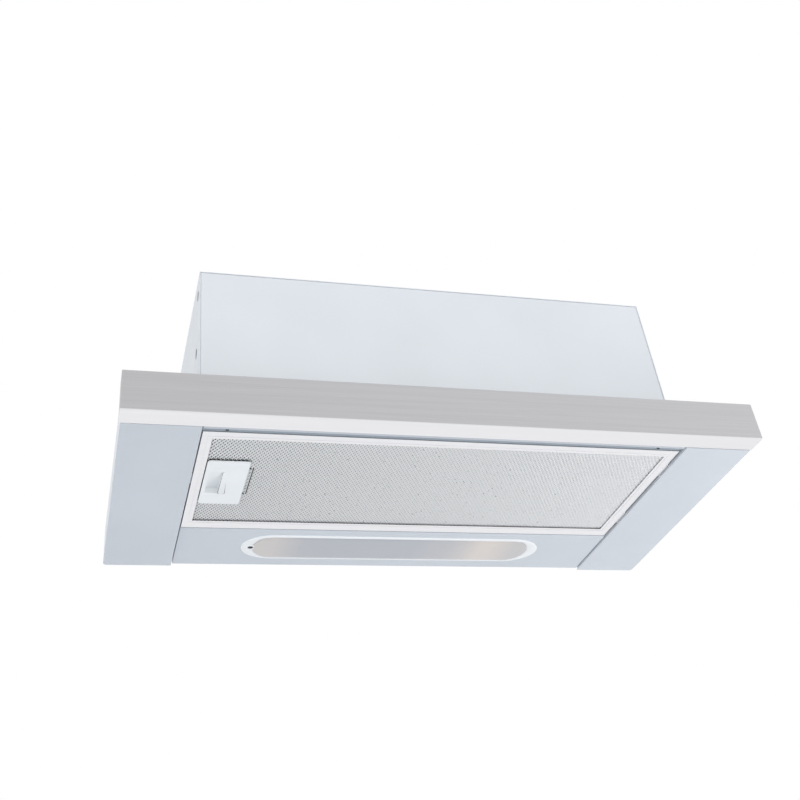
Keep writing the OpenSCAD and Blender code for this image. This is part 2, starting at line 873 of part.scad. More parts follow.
module bar_screws() {
    color(dark_c)
    for (x = bar_screw_xs)
        translate([x, bar_screw_y, bar_high_z]) {
            difference() {
                translate([0, 0, -bar_head_t])
                    cylinder(r1 = bar_head_r - 0.4, r2 = bar_head_r, h = bar_head_t);
                for (a = [0, 90])
                    rotate(a)
                        block([1 - bar_head_r, bar_head_r - 1], [-bar_cross_w / 2, bar_cross_w / 2],
                            [-bar_head_t - cut, bar_cross_deep - bar_head_t]);
            }
            cylinder(d = bar_screw_d, h = bar_screw_len);
        }
}

module drawer_pan() {
    top_y1 = behind(drawer_top_len);
    arm_y1 = behind(inner_rail_setback) + inner_rail_len;
    color(zinc_c) {
        block([-arm_x1, arm_x1], [pan_front_y, top_y1], [pan_z0, pan_z1]);
        block([-arm_x1, arm_x1], [pan_front_y, pan_front_y + sheet_t], [lip_z0, pan_z1]);
        both_sides() {
            block([arm_x0, arm_x1], [pan_front_y, top_y1], [lip_z0, pan_z1]);
            block([arm_x0, arm_x1], [top_y1 - cut, arm_y1], [lip_z0, rail_z1]);
            block([arm_x1 - lip_w, arm_x1], [pan_front_y, drawer_filter_y1 + 2], [lip_z0, lip_z1]);
        }
    }
}

module drawer_filter_frame() {
    x = drawer_filter_x;
    z = [lip_z1, lip_z1 + drawer_filter_t];
    b = drawer_filter_border;
    s = filter_sheet;
    color(alu_c)
    difference() {
        block([-x, x], [drawer_filter_y0, drawer_filter_y1], z);
        block([-x + s, x - s], [drawer_filter_y0 + s, drawer_filter_y1 - s], [z[0] + s, z[1] - s]);
        block([-x + b, x - b], [drawer_filter_y0 + b, drawer_filter_y1 - b], [z[0] - cut, z[1] + cut]);
    }
}

module drawer_filter_net() {
    g = filter_sheet + net_gap;
    x = drawer_filter_x - g;
    b = drawer_filter_border;
    color(alu_c)
    translate([0, 0, lip_z1 + filter_sheet])
        linear_extrude(drawer_filter_t - 2 * filter_sheet)
            difference() {
                translate([-x, drawer_filter_y0 + g])
                    square([2 * x, drawer_filter_y1 - drawer_filter_y0 - 2 * g]);
                diamonds([-x + b, x - b], [drawer_filter_y0 + b, drawer_filter_y1 - b], 16, 6);
            }
}

// ---- Hinged filter ----

// Staggered diamond openings in a window given by [low, high] pairs
module diamonds(x, y, columns, rows) {
    px = (x[1] - x[0]) / (columns + 0.5);
    py = (y[1] - y[0]) / (rows + 1);
    a = px / 2 - net_strand * 0.7;
    b = py - net_strand;
    for (j = [0 : rows - 1], i = [0 : columns - 1])
        translate([x[0] + px * (i + 0.5 + (j % 2) / 2), y[0] + py * (j + 1)])
            polygon([[-a, 0], [0, -b], [a, 0], [0, b]]);
}

module filter_frame() {
    s = filter_sheet;
    color(alu_c)
    difference() {
        union() {
            block([-filter_x, filter_x], [filter_y0, filter_y1], [filter_z0, filter_z1]);
            for (y = tab_ys)
                block([filter_x - s, side_in_x + tab_reach], [y - tab_len / 2, y + tab_len / 2],
                    [tab_z - tab_t / 2, tab_z + tab_t / 2]);
        }
        block([-filter_x + s, filter_x - s], [filter_y0 + s, filter_y1 - s],
            [filter_in_z0, filter_in_z1]);
        block([win_x0, win_x1], [win_y0, win_y1], [filter_z0 - cut, filter_z1 + cut]);
        tongue_hole([-filter_x - cut, -filter_x + s + cut]);
    }
}

// Room for the latch's tongue between two planes across X
module tongue_hole(x)
    block(x, [tongue_y - tongue_w / 2 - seat, tongue_y + tongue_w / 2 + seat],
        [tongue_z0 - seat, tongue_z0 + tongue_t + seat]);

// Outline of what lies inside the filter's frame
module filter_inside_2d() {
    g = filter_sheet + net_gap;
    translate([-filter_x + g, filter_y0 + g])
        square([2 * filter_x - 2 * g, filter_len - 2 * g]);
}

module filter_net() {
    color(alu_c)
    translate([0, 0, filter_in_z0])
        linear_extrude(net_t)
            difference() {
                filter_inside_2d();
                diamonds([win_x0, win_x1], [win_y0, win_y1], net_columns, net_rows);
                translate([latch_win_x0, housing_y0 + housing_wall])
                    square([latch_win_x1 - latch_win_x0, housing_y1 - housing_y0 - 2 * housing_wall]);
            }
}

module filter_core() {
    color([0.62, 0.64, 0.66])
    difference() {
        translate([0, 0, filter_in_z0 + net_t])
            linear_extrude(filter_t - 2 * filter_sheet - 2 * net_t) filter_inside_2d();
        block([housing_x0 - net_gap, housing_x1 + net_gap], [housing_y0 - net_gap, housing_y1 + net_gap],
            [0, filter_z1]);
        tongue_hole([-filter_x, housing_x0 + cut]);
    }
}

module filter_back_net() {
    color(alu_c)
    translate([0, 0, filter_in_z1 - net_t])
        linear_extrude(net_t)
            difference() {
                filter_inside_2d();
                diamonds([win_x0, win_x1], [win_y0, win_y1], 16, 8);
                translate([housing_x0 - net_gap, housing_y0 - net_gap])
                    square([housing_x1 - housing_x0 + 2 * net_gap, housing_y1 - housing_y0 + 2 * net_gap]);
            }
}

module latch_housing() {
    w = housing_wall;
    color(white_c)
    difference() {
        block([housing_x0, housing_x1], [housing_y0, housing_y1], [housing_z0, housing_z1]);
        block([housing_x0 + w, housing_x1 - w], [housing_y0 + w, housing_y1 - w],
            [housing_z0 - cut, housing_z1 - w]);
        tongue_hole([housing_x0 - cut, housing_x0 + w + cut]);
    }
}

module latch_handle() {
    color(white_c)
    difference() {
        union() {
            translate([0, 0, latch_z0])
                linear_extrude(latch_plate_t)
                    round_box_2d([latch_x0, latch_x1], [latch_y0, latch_y1], latch_corner_r);
            block([shell_x0, shell_x1], [shell_y0, shell_y1], [latch_z0, shell_z1]);
            // grip rib beside the pocket
            translate([0, 0, latch_z0 - grip_rise])
                linear_extrude(latch_plate_t)
                    round_box_2d([pocket_x1, pocket_x1 + grip_w], [pocket_y0, pocket_y1], grip_w / 2 - eps);
            // tongue
            block([-side_in_x - tongue_reach, shell_x0 + eps],
                [tongue_y - tongue_w / 2, tongue_y + tongue_w / 2], [tongue_z0, tongue_z0 + tongue_t]);
        }
        // finger pocket with a sloping floor, deepest at its rear wall
        along_x(pocket_x0, pocket_x1)
            polygon([
                [pocket_y0, latch_z0 - cut], [pocket_y0, latch_z0 + eps],
                [pocket_y0 + pocket_len * 0.75, pocket_z1], [pocket_y1, pocket_z1],
                [pocket_y1, latch_z0 - cut]
            ]);
    }
}

// One point of ring i of the latch spring, j being the corner of its wire
function spring_ring(i, rings, sides, len) =
    let (
        a = 360 * spring_turns * i / rings,
        x = spring_wire / 2 + (len - spring_wire) * i / rings,
        r = (spring_d - spring_wire) / 2
    )
    [for (j = [0 : sides - 1])
        let (b = 360 * j / sides, rr = r + spring_wire / 2 * cos(b))
        [x + spring_wire / 2 * sin(b), rr * cos(a), rr * sin(a)]];

module latch_spring() {
    rings = 8 * spring_turns;
    sides = 6;
    len = housing_x1 - housing_wall - shell_x1;
    points = [for (i = [0 : rings]) each spring_ring(i, rings, sides, len)];
    faces = concat(
        [[for (j = [0 : sides - 1]) j]],
        [for (i = [0 : rings - 1], j = [0 : sides - 1])
            [i * sides + j, (i + 1) * sides + j, (i + 1) * sides + (j + 1) % sides]],
        [for (i = [0 : rings - 1], j = [0 : sides - 1])
            [i * sides + j, (i + 1) * sides + (j + 1) % sides, i * sides + (j + 1) % sides]],
        [[for (j = [sides - 1 : -1 : 0]) rings * sides + j]]
    );
    color(steel_c)
    translate([shell_x1, tongue_y, tongue_z0 + tongue_t / 2]) polyhedron(points, faces);
}

// ---- Blower ----

module at_blower()
    translate([0, blower_y, blower_z]) children();

// Scroll outline about the blower's axis, grown by g: quarter arcs whose
// centres go round a small square, then a straight throat to the top
module scroll_2d(g, top) {
    c = scroll_step / 2;
    r = [scroll_r, scroll_r + scroll_step, scroll_r + 2 * scroll_step];
    big = 2 * r[2];
    intersection() {
        translate([-c, -c]) circle(r[0] + g, $fn = 96);
        translate([-c - big, -c]) square(big);
    }
    intersection() {
        translate([c, -c]) circle(r[1] + g, $fn = 96);
        translate([c - big, -c - big]) square(big);
    }
    intersection() {
        translate([c, c]) circle(r[2] + g, $fn = 96);
        translate([c, c - big]) square(big);
    }
    lip = impeller_r + cutoff_gap;
    back = c + r[2];
    translate([-c - eps, -c - eps]) square([throat_y0 + 2 * c, lip + c + g]);
    translate([back - throat_w - g, -c]) square([throat_w + 2 * g, top + c]);
}

// One half of the volute, on the side where x is above zero
module volute_half() {
    rise = top_in_z - blower_z;
    difference() {
        union() {
            at_blower() along_x(0, volute_x) scroll_2d(volute_wall, rise);
            translate([0, collar_y, top_in_z - volute_flange_t])
                intersection() {
                    cylinder(r = volute_flange_r, h = volute_flange_t);
                    block([0, volute_flange_r], [-volute_flange_r, volute_flange_r], [0, volute_flange_t]);
                }
        }
        at_blower() along_x(-cut, volute_x - volute_wall) scroll_2d(0, rise + cut);
        at_blower() rod_x(inlet_r, volute_x - volute_wall - cut, volute_x + cut);
    }
}

module volute_left() { color([0.86, 0.87, 0.88]) mirror([1, 0, 0]) volute_half(); }
module volute_right() { color([0.86, 0.87, 0.88]) volute_half(); }

module inlet_grille() {
    bars = 4;
    w = inlet_r + 4;
    color(dark_c)
    at_blower()
        along_x(-volute_x - 2, -volute_x) {
            difference() {
                circle(w);
                circle(w - 6);
            }
            intersection() {
                circle(w - 1);
                union() {
                    for (i = [-bars : bars])
                        translate([-w, i * w / (bars + 1) - 0.75]) square([2 * w, 1.5]);
                    translate([-0.75, -w]) square([1.5, 2 * w]);
                }
            }
        }
}

// Section of one forward curved blade: a short arc between two radii
module blade_2d() {
    r0 = impeller_r - blade_depth;
    intersection() {
        translate([r0 + blade_curve_r * 0.35, blade_curve_r * 0.94])
            difference() {
                circle(blade_curve_r + blade_t / 2, $fn = 32);
                circle(blade_curve_r - blade_t / 2, $fn = 32);
            }
        difference() {
            circle(impeller_r - eps);
            circle(r0);
        }
        translate([r0 - cut, -blade_depth]) square([blade_depth + 2 * cut, blade_depth * 1.6]);
    }
}

module impeller() {
    r0 = impeller_r - blade_depth;
    x1 = impeller_len / 2;
    color([0.30, 0.32, 0.34])
    at_blower()
        difference() {
            union() {
                rotate([0, 90, 0]) {
                    translate([0, 0, -x1])
                        linear_extrude(impeller_len)
                            for (i = [0 : blades - 1])
                                rotate(360 * i / blades) blade_2d();
                }
                for (x = [-x1, x1 - ring_t])
                    along_x(x, x + ring_t)
                        difference() {
                            circle(impeller_r);
                            circle(r0);
                        }
                rod_x(impeller_r, -disc_t / 2, disc_t / 2);
                rod_x(hub_r, hub_x0, hub_x1);
            }
            rod_x(shaft_r + 0.02, hub_x0 - cut, hub_x1 + cut);
        }
}

module motor_shaft() {
    color(steel_c)
    at_blower() rod_x(shaft_r, hub_x0 - 8, motor_x0 + 25);
}

module impeller_nut() {
    color(zinc_c)
    at_blower()
        difference() {
            translate([hub_x0 - 5, 0, 0])
                rotate([0, 90, 0]) cylinder(r = shaft_r + 3.5, h = 5, $fn = 6);
            rod_x(shaft_r + 0.02, hub_x0 - 5 - cut, hub_x0 + cut);
        }
}

module motor() {
    slots = 12;
    slot_d = 3;
    color([0.55, 0.57, 0.60])
    at_blower()
        difference() {
            union() {
                rod_x(motor_r - 3, motor_x0, motor_x0 + 3 + eps);
                rod_x(motor_r, motor_x0 + 3, motor_x1 - 3);
                rod_x(motor_r - 3, motor_x1 - 3 - eps, motor_x1);
            }
            rod_x(shaft_r + shaft_gap, motor_x0 - cut, motor_x0 + 25 + seat);
            for (i = [0 : slots - 1])
                rotate([360 * i / slots, 0, 0])
                    block([motor_x0 + 10, motor_x1 - 10], [-1.5, 1.5],
                        [motor_r - slot_d, motor_r + cut]);
        }
}

module motor_bracket() {
    color(zinc_c)
    at_blower()
        along_x(motor_x1, motor_x1 + bracket_t) {
            difference() {
                union() {
                    circle(motor_r - 6);
                    for (a = bush_angles)
                        rotate(a) translate([0, -5]) square([bush_ring_r, 10]);
                    for (a = bush_angles)
                        rotate(a) translate([bush_ring_r, 0]) circle(bush_r + 2);
                }
                circle(8);
                for (a = bush_angles)
                    rotate(a) translate([bush_ring_r, 0]) circle(1.6);
            }
        }
}

module bracket_bushes() {
    color(dark_c)
    at_blower()
        for (a = bush_angles)
            rotate([a, 0, 0])
                translate([0, bush_ring_r, 0])
                    difference() {
                        rod_x(bush_r, volute_x, motor_x1);
                        rod_x(1.6, volute_x - cut, motor_x1 + cut);
                    }
}

// ---- Duct collar ----

module at_collar(z)
    translate([0, collar_y, z]) children();

module outlet_collar() {
    h = collar_h;
    color(dark_c)
    difference() {
        at_collar(casing_h)
            rotate_extrude($fn = 96)
                union() {
                    translate([collar_in_r, 0]) square([collar_wall, h]);
                    translate([collar_in_r, 0]) square([collar_base_r - collar_in_r, collar_base_t]);
                    translate([collar_in_r - ledge_w, ledge_z0 - casing_h])
                        square([ledge_w + eps, ledge_t]);
                }
        at_collar(flap_z) rod_x(flap_pin_r + eps, -collar_r - cut, collar_r + cut);
    }
}

module flap_pin() {
    color(steel_c)
    at_collar(flap_z) rod_x(flap_pin_r, -collar_r + 0.5, collar_r - 0.5);
}

// A half round flap on the +Y side of the pin, with knuckles at the given spans
module flap(knuckles) {
    at_collar(flap_z)
        difference() {
            union() {
                translate([0, 0, -flap_t / 2])
                    linear_extrude(flap_t)
                        intersection() {
                            circle(flap_r, $fn = 96);
                            translate([-flap_r, flap_root]) square([2 * flap_r, flap_r]);
                        }
                for (k = knuckles) {
                    rod_x(knuckle_r, k[0], k[1]);
                    block([k[0], k[1]], [0, flap_root + eps], [-flap_t / 2, flap_t / 2]);
                }
            }
            rod_x(flap_pin_r + knuckle_gap, -flap_r, flap_r);
        }
}

module rear_flap() {
    h = knuckle_len / 2;
    color(alu_c) flap([for (x = [-rear_knuckle_x, rear_knuckle_x]) [x - h, x + h]]);
}

module front_flap() {
    h = knuckle_len / 2;
    m = mid_knuckle_len / 2;
    color(alu_c)
    translate([0, 2 * collar_y, 0])
        mirror([0, 1, 0])
            flap([[-front_knuckle_x - h, -front_knuckle_x + h], [-m, m],
                [front_knuckle_x - h, front_knuckle_x + h]]);
}

// ---- Electrics ----

module connection_box() {
    s = [box_len, box_wide, box_high];
    color(white_c)
    translate([box_x, box_y, top_in_z - s[2]])
        difference() {
            block([-s[0] / 2, s[0] / 2], [-s[1] / 2, s[1] / 2], [0, s[2]]);
            block([-s[0] / 2 + box_wall, s[0] / 2 - box_wall],
                [-s[1] / 2 + box_wall, s[1] / 2 - box_wall], [-cut, s[2] - box_wall]);
            translate([0, 0, s[2] - box_wall - cut]) cylinder(r = gland_r + screw_gap, h = box_wall + 2 * cut);
        }
}

module connection_box_lid() {
    s = [box_len, box_wide, box_high];
    color(white_c)
    translate([box_x, box_y, top_in_z - s[2]]) {
        block([-s[0] / 2, s[0] / 2], [-s[1] / 2, s[1] / 2], [-2, 0]);
        difference() {
            block([-s[0] / 2 + box_wall + net_gap, s[0] / 2 - box_wall - net_gap],
                [-s[1] / 2 + box_wall + net_gap, s[1] / 2 - box_wall - net_gap], [-eps, 4]);
            block([-s[0] / 2 + 2 * box_wall, s[0] / 2 - 2 * box_wall],
                [-s[1] / 2 + 2 * box_wall, s[1] / 2 - 2 * box_wall], [0, 4 + cut]);
        }
    }
}

module cable_gland() {
    color(dark_c)
    translate([box_x, box_y, 0])
        difference() {
            union() {
                translate([0, 0, casing_h]) cylinder(r = gland_head_r, h = gland_h / 3, $fn = 6);
                translate([0, 0, casing_h + gland_h / 3 - eps])
                    cylinder(r1 = gland_head_r - 1.2, r2 = gland_r, h = gland_h * 2 / 3);
                translate([0, 0, top_in_z - 8]) cylinder(r = gland_r, h = 8 + sheet_t + eps);
            }
            translate([0, 0, top_in_z - 8 - cut])
                cylinder(d = gland_bore, h = gland_h + 8 + 2 * cut + sheet_t);
        }
}

module capacitor() {
    color([0.80, 0.82, 0.84])
    translate([capacitor_x, box_y, top_in_z - capacitor_h]) {
        cylinder(r = capacitor_r, h = capacitor_h);
        translate([0, 0, -capacitor_stud_h])
            cylinder(r = capacitor_stud_r, h = capacitor_stud_h + eps);
    }
}

// The slider block behind the strip, on the right wing's front
module switch_block() {
    x = [switch_x0, switch_x0 + switch_w];
    y = [switch_y0, wing_front_y];
    z = [switch_z0, switch_z0 + switch_h];
    w = switch_wall;
    color(dark_c)
    difference() {
        block(x, y, z);
        block([x[0] + w, x[1] - w], [y[0] + w, y[1] + cut], [z[0] + w, z[1] - w]);
        slider_slot(fan_x, fan_travel);
        slider_slot(light_x, light_travel);
    }
}

switch_mid_z = switch_z0 + switch_h / 2;

// Slot for a slider's stem that starts at x and travels right
module slider_slot(x, travel)
    block([x - stem / 2 - stem_gap, x + stem / 2 + travel + stem_gap],
        [switch_y0 - cut, switch_y0 + switch_wall + cut],
        [switch_mid_z - stem / 2 - stem_gap, switch_mid_z + stem / 2 + stem_gap]);

// A slider with a ribbed knob outside the block and a keeper inside it
module slider(x) {
    z = switch_mid_z;
    y = switch_y0;
    translate([x, 0, z]) {
        difference() {
            block([-knob_w / 2, knob_w / 2], [y - seat - knob_d, y - seat], [-knob_w / 2, knob_w / 2]);
            for (i = [-1 : 1])
                block([i * 2 - 0.4, i * 2 + 0.4], [y - seat - knob_d - cut, y - seat - knob_d + 0.6],
                    [-knob_w, knob_w]);
        }
        block([-stem / 2, stem / 2], [y - seat - eps, y + switch_wall + seat + keeper_d],
            [-stem / 2, stem / 2]);
        block([-stem / 2 - 1.5, stem / 2 + 1.5],
            [y + switch_wall + seat, y + switch_wall + seat + keeper_d], [-stem / 2 - 3, stem / 2 + 3]);
    }
}

module fan_slider() { color([0.75, 0.76, 0.78]) slider(fan_x); }
module light_slider() { color([0.75, 0.76, 0.78]) slider(light_x); }

module microswitch() {
    arm_end = behind(inner_rail_setback) + inner_rail_len;
    x0 = -arm_x1 - micro_out;
    z0 = rail_z0 + micro_rise;
    zm = z0 + micro_h / 2;
    color(dark_c) {
        block([x0, x0 + micro_w], [arm_end + plunger_len, back_in_y - sheet_t], [z0, z0 + micro_h]);
        block([-arm_x1 - plunger_w / 4, -arm_x1 + plunger_w * 3 / 4],
            [arm_end + seat, arm_end + plunger_len + eps], [zm - plunger_w / 2, zm + plunger_w / 2]);
    }
}

casing_top();
left_side_sheet();
right_side_sheet();
front_cover();
back_panel();
left_wing();
right_wing();
lamp_panel();
left_outer_rail();
right_outer_rail();
volute_left();
volute_right();
inlet_grille();
motor();
motor_bracket();
bracket_bushes();
impeller();
motor_shaft();
impeller_nut();
outlet_collar();
flap_pin();
front_flap();
rear_flap();
connection_box();
connection_box_lid();
cable_gland();
capacitor();
switch_block();
fan_slider();
light_slider();
microswitch();
lamp_reflector();
left_lamp_holder();
right_lamp_holder();
left_lamp();
right_lamp();
lamp_cover();
lamp_cover_screw();
casing_screws();
front_strip();
drawer_front_bar();
drawer_pan();
drawer_filter_frame();
drawer_filter_net();
left_inner_rail();
right_inner_rail();
bar_screws();
filter_frame();
filter_net();
filter_core();
filter_back_net();
latch_housing();
latch_handle();
latch_spring();
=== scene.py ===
"""Finishes, nets, latch, lamp cover and studio for a built-in cooker hood with a pull-out front.

Every length is in metres in the hood's own frame: X to the right seen from the front, Y to the
wall, Z up to the duct, with zero at the middle of the plane that the wings rest on.
"""

import json
from math import cos, pi, radians, sin, sqrt

import bmesh
import bpy
from bpy.props import FloatProperty, FloatVectorProperty, PointerProperty
from mathutils import Matrix, Vector

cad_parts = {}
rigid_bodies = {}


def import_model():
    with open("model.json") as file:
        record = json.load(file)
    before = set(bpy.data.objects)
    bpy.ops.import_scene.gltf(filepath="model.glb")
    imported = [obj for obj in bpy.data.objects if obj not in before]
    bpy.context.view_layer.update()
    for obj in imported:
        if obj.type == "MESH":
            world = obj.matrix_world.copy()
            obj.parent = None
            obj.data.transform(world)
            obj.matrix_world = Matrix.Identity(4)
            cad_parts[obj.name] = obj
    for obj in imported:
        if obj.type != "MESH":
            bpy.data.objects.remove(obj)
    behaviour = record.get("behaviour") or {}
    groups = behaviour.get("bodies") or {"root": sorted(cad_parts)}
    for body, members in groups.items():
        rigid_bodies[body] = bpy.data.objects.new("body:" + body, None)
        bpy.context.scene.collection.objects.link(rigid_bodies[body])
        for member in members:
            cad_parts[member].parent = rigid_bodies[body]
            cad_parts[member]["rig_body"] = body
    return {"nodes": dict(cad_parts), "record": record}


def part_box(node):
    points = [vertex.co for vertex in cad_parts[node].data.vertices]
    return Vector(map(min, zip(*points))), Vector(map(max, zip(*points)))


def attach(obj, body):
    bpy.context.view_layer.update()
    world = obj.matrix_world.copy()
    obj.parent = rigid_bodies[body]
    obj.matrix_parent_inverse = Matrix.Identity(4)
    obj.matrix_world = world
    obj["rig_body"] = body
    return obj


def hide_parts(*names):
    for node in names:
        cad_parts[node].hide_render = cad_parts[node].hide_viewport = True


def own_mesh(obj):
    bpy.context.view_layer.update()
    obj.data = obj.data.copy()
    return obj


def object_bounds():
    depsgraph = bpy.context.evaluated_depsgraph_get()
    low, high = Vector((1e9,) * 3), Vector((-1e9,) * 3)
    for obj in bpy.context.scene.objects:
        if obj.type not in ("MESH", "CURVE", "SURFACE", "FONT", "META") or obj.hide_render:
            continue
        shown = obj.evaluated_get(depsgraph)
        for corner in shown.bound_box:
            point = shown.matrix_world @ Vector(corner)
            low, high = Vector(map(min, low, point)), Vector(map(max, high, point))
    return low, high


bl_info = {
    "name": "Cooker Hood Finish",
    "version": (1, 0, 0),
    "blender": (4, 5, 0),
    "location": "View3D > Sidebar > Hood",
    "description": "Finishes, filter nets, latch, lamp cover and studio of a pull-out cooker hood",
    "category": "Object",
}

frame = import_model()
cad_low, cad_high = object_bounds()

FRONT = cad_low.y
NODE_BODY = {n: o["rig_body"] for n, o in frame["nodes"].items()}
NODE_SLOT = {s["node"]: s["material_slot"] for s in frame["record"]["subparts"]}

# Borders of the filter's frame around its window, and its wall with the net's room
BORDER_LEFT, BORDER_RIGHT, BORDER_FRONT, BORDER_REAR = 0.0083, 0.0108, 0.0111, 0.0140
FRAME_WALL = 0.0007
# Raised bead round the window
BEAD_OUT, BEAD_WIDTH, BEAD_RISE, BEAD_ROUND = 0.0042, 0.0014, 0.0003, 0.0003
# Rounds on the folded edges, and how far the folded sides reach out
WING_ROUND, PANEL_ROUND, FRAME_ROUND = 0.00035, 0.0003, 0.0002
PANEL_REACH, FRAME_REACH, FOLD_DEPTH = 0.0009, 0.0011, 0.002
# The nets: how far they stay inside the frame, and their sheet's thickness
NET_LAP, NET_THICK = 0.002, 0.0003
# Heights of the face net over its node, and of the layers behind it over the core's face
FACE_LIFT, SECOND_DEPTH, PACK_DEPTH = 0.0006, 0.0008, 0.002
# Room that the layers leave under the border and round the latch's housing
DARK_UNDER_BORDER, HOUSING_ROOM = 0.0008, 0.0004
# Where the face net is left out, at the window's rear left corner and left of the plate
CORNER_OUT, CORNER_IN, PLATE_ROOM = (0.001, 0.0032, 0), (0.0016, 0.001, 0), 0.003
# Where the layers behind it are left out, in front of the plate and under its front edge
SHADE_OUT, SHADE_UNDER = (0.001, 0.0028, 0), 0.004
# Pitch across and in depth, strand, tilt and thickness of the coarser nets
SECOND_NET = ((0.00595, 0.0057), 0.0016, 0.0006, 0.0003)
REAR_NET = ((0.0062, 0.0048), 0.0012, 0.0004, 0.0002)
# The drawer's filter: its coarser top net, how deep its nets lie, and the packing's faces
DRAWER_TOP_PITCH, DRAWER_TOP_STRAND = (0.0074, 0.0098), 0.0022
DRAWER_TILT, DRAWER_INSET = 0.9, 0.0011
DRAWER_PACK_UNDER, DRAWER_PACK_OVER = 0.0026, 0.0024
# The filter's handle: plate, finger pocket with its shell, grip, slit and tongue
PLATE_WIDTH, PLATE_THICK, PLATE_CORNER = 0.0386, 0.0013, 0.003
POCKET_LEFT, POCKET_FRONT = 0.0036, 0.0186
POCKET_WIDTH, POCKET_LONG, POCKET_DEEP = 0.0125, 0.041, 0.007
POCKET_SLOPE, POCKET_LEAN, POCKET_LIP, SHELL_WALL = 0.88, 0.0009, 0.0002, 0.0014
GRIP_WIDTH, GRIP_RISE, GRIP_NARROW, GRIP_SHALLOW = 0.006, 0.0005, 0.55, 0.15
SLIT, SLIT_NARROW, SLIT_BESIDE, SLIT_SINK, SLIT_DEEP = 0.0007, 0.42, 0.6, 0.00005, 0.0006
TONGUE_HALF, TONGUE_LOW, TONGUE_HIGH = 0.009, 0.0040, 0.0070
HANDLE_ROUND, HANDLE_OVERLAP = 0.0003, 0.0002
# The spring behind the handle, with its steps in a turn
SPRING_TURNS, SPRING_WIRE, SPRING_STEPS = 9, 0.0007, 20
# The lamp cover: length of its rounded ends and of the lens's, width of the rim,
# height of the lens's face, and how far the screw's boss stays under the cover's top
COVER_NOSE, LENS_NOSE, COVER_RIM = 0.034, 0.0219, 0.0040
LENS_TOP, BOSS_DEPTH = 0.0010, 0.0008
# Painted light: share of the lamps' glow on the lamp cover at places to the right of its middle
COVER_LAMP_GLOW = ((-0.150, 0.70), (-0.130, 0.66), (-0.115, 0.36), (-0.100, 0.08), (-0.070, 0.0),
                (0.020, 0.0), (0.060, 0.22), (0.075, 0.50), (0.094, 1.0), (0.106, 1.0),
                (0.120, 0.74), (0.135, 0.46), (0.150, 0.34))
# The studio's lamps: name, place, target, side, watts and colour
MIDDLE = (cad_low + cad_high) / 2
LAMPS = (("front_lamp", (0.2, -2.6, 0.5), MIDDLE, 2.4, 33.0, (1.0, 0.965, 0.93)),
         ("left_lamp", (-2.4, -0.5, -0.6), MIDDLE, 1.6, 20.0, (1.0, 1.0, 1.0)),
         ("top_lamp", (0.4, 0.2, 2.6), MIDDLE, 2.4, 14.0, (1.0, 1.0, 1.0)),
         ("low_lamp", (0.95, -0.3, -0.75), Vector((0.25, 0, 0)), 0.5, 5.0, (1.0, 0.97, 0.97)))
FLOOR_SIZE = 6.0
CAMERA_SHIFT = (0.0182, -0.137)


# ---- Sizes and colours ----

class HoodColours(bpy.types.PropertyGroup):
    """Colours of the hood's finishes"""
    paint: FloatVectorProperty(
        name="Paint", description="Pale grey paint of the casing and the wings",
        subtype="COLOR", size=3, min=0, max=1, default=(0.665, 0.70, 0.74))
    steel: FloatVectorProperty(
        name="Strip steel", description="Brushed steel of the front strip",
        subtype="COLOR", size=3, min=0, max=1, default=(0.585, 0.585, 0.60))
    frame: FloatVectorProperty(
        name="Filter frame", description="Satin aluminium of the filter's frame",
        subtype="COLOR", size=3, min=0, max=1, default=(0.93, 0.925, 0.94))
    net: FloatVectorProperty(
        name="Net", description="Aluminium of the filter's nets",
        subtype="COLOR", size=3, min=0, max=1, default=(0.985, 0.995, 1.0))
    plastic: FloatVectorProperty(
        name="White plastic", description="Moulded plastic of the latch and the sliders",
        subtype="COLOR", size=3, min=0, max=1, default=(0.965, 0.985, 0.995))
    cover: FloatVectorProperty(
        name="Lamp cover", description="Clouded plastic in the middle of the lamp cover",
        subtype="COLOR", size=3, min=0, max=1, default=(0.46, 0.475, 0.51))
    # painted light: the colour that the lamps' glow paints onto the cover in front of each lamp
    glow: FloatVectorProperty(
        name="Lamp glow", description="Warm tone of the lamp cover in front of each lamp",
        subtype="COLOR", size=3, min=0, max=1, default=(0.73, 0.66, 0.60))
    # painted shade: the channel's blue grey stands for the shade it lies in
    recess_shade: FloatVectorProperty(
        name="Recess", description="Blue grey of the channel between the strip and the filter",
        subtype="COLOR", size=3, min=0, max=1, default=(0.33, 0.38, 0.43))


class HoodNets(bpy.types.PropertyGroup):
    """Sizes of the expanded metal nets"""
    pitch_x: FloatProperty(
        name="Pitch across", description="Distance between diamonds across the hood",
        unit="LENGTH", min=0.002, max=0.01, default=0.00368)
    pitch_y: FloatProperty(
        name="Pitch in depth", description="Distance between diamonds from front to back",
        unit="LENGTH", min=0.002, max=0.01, default=0.00606)
    strand: FloatProperty(
        name="Strand", description="Width of a strand of the net",
        unit="LENGTH", min=0.0002, max=0.002, default=0.00145)
    tilt: FloatProperty(
        name="Tilt", description="Rise from the left to the right end of a diamond's half",
        unit="LENGTH", min=0.0, max=0.002, default=0.0017)
    trench: FloatProperty(
        name="Dark edge", description="Width without packing along the right and rear borders",
        unit="LENGTH", min=0.001, max=0.006, default=0.0032)


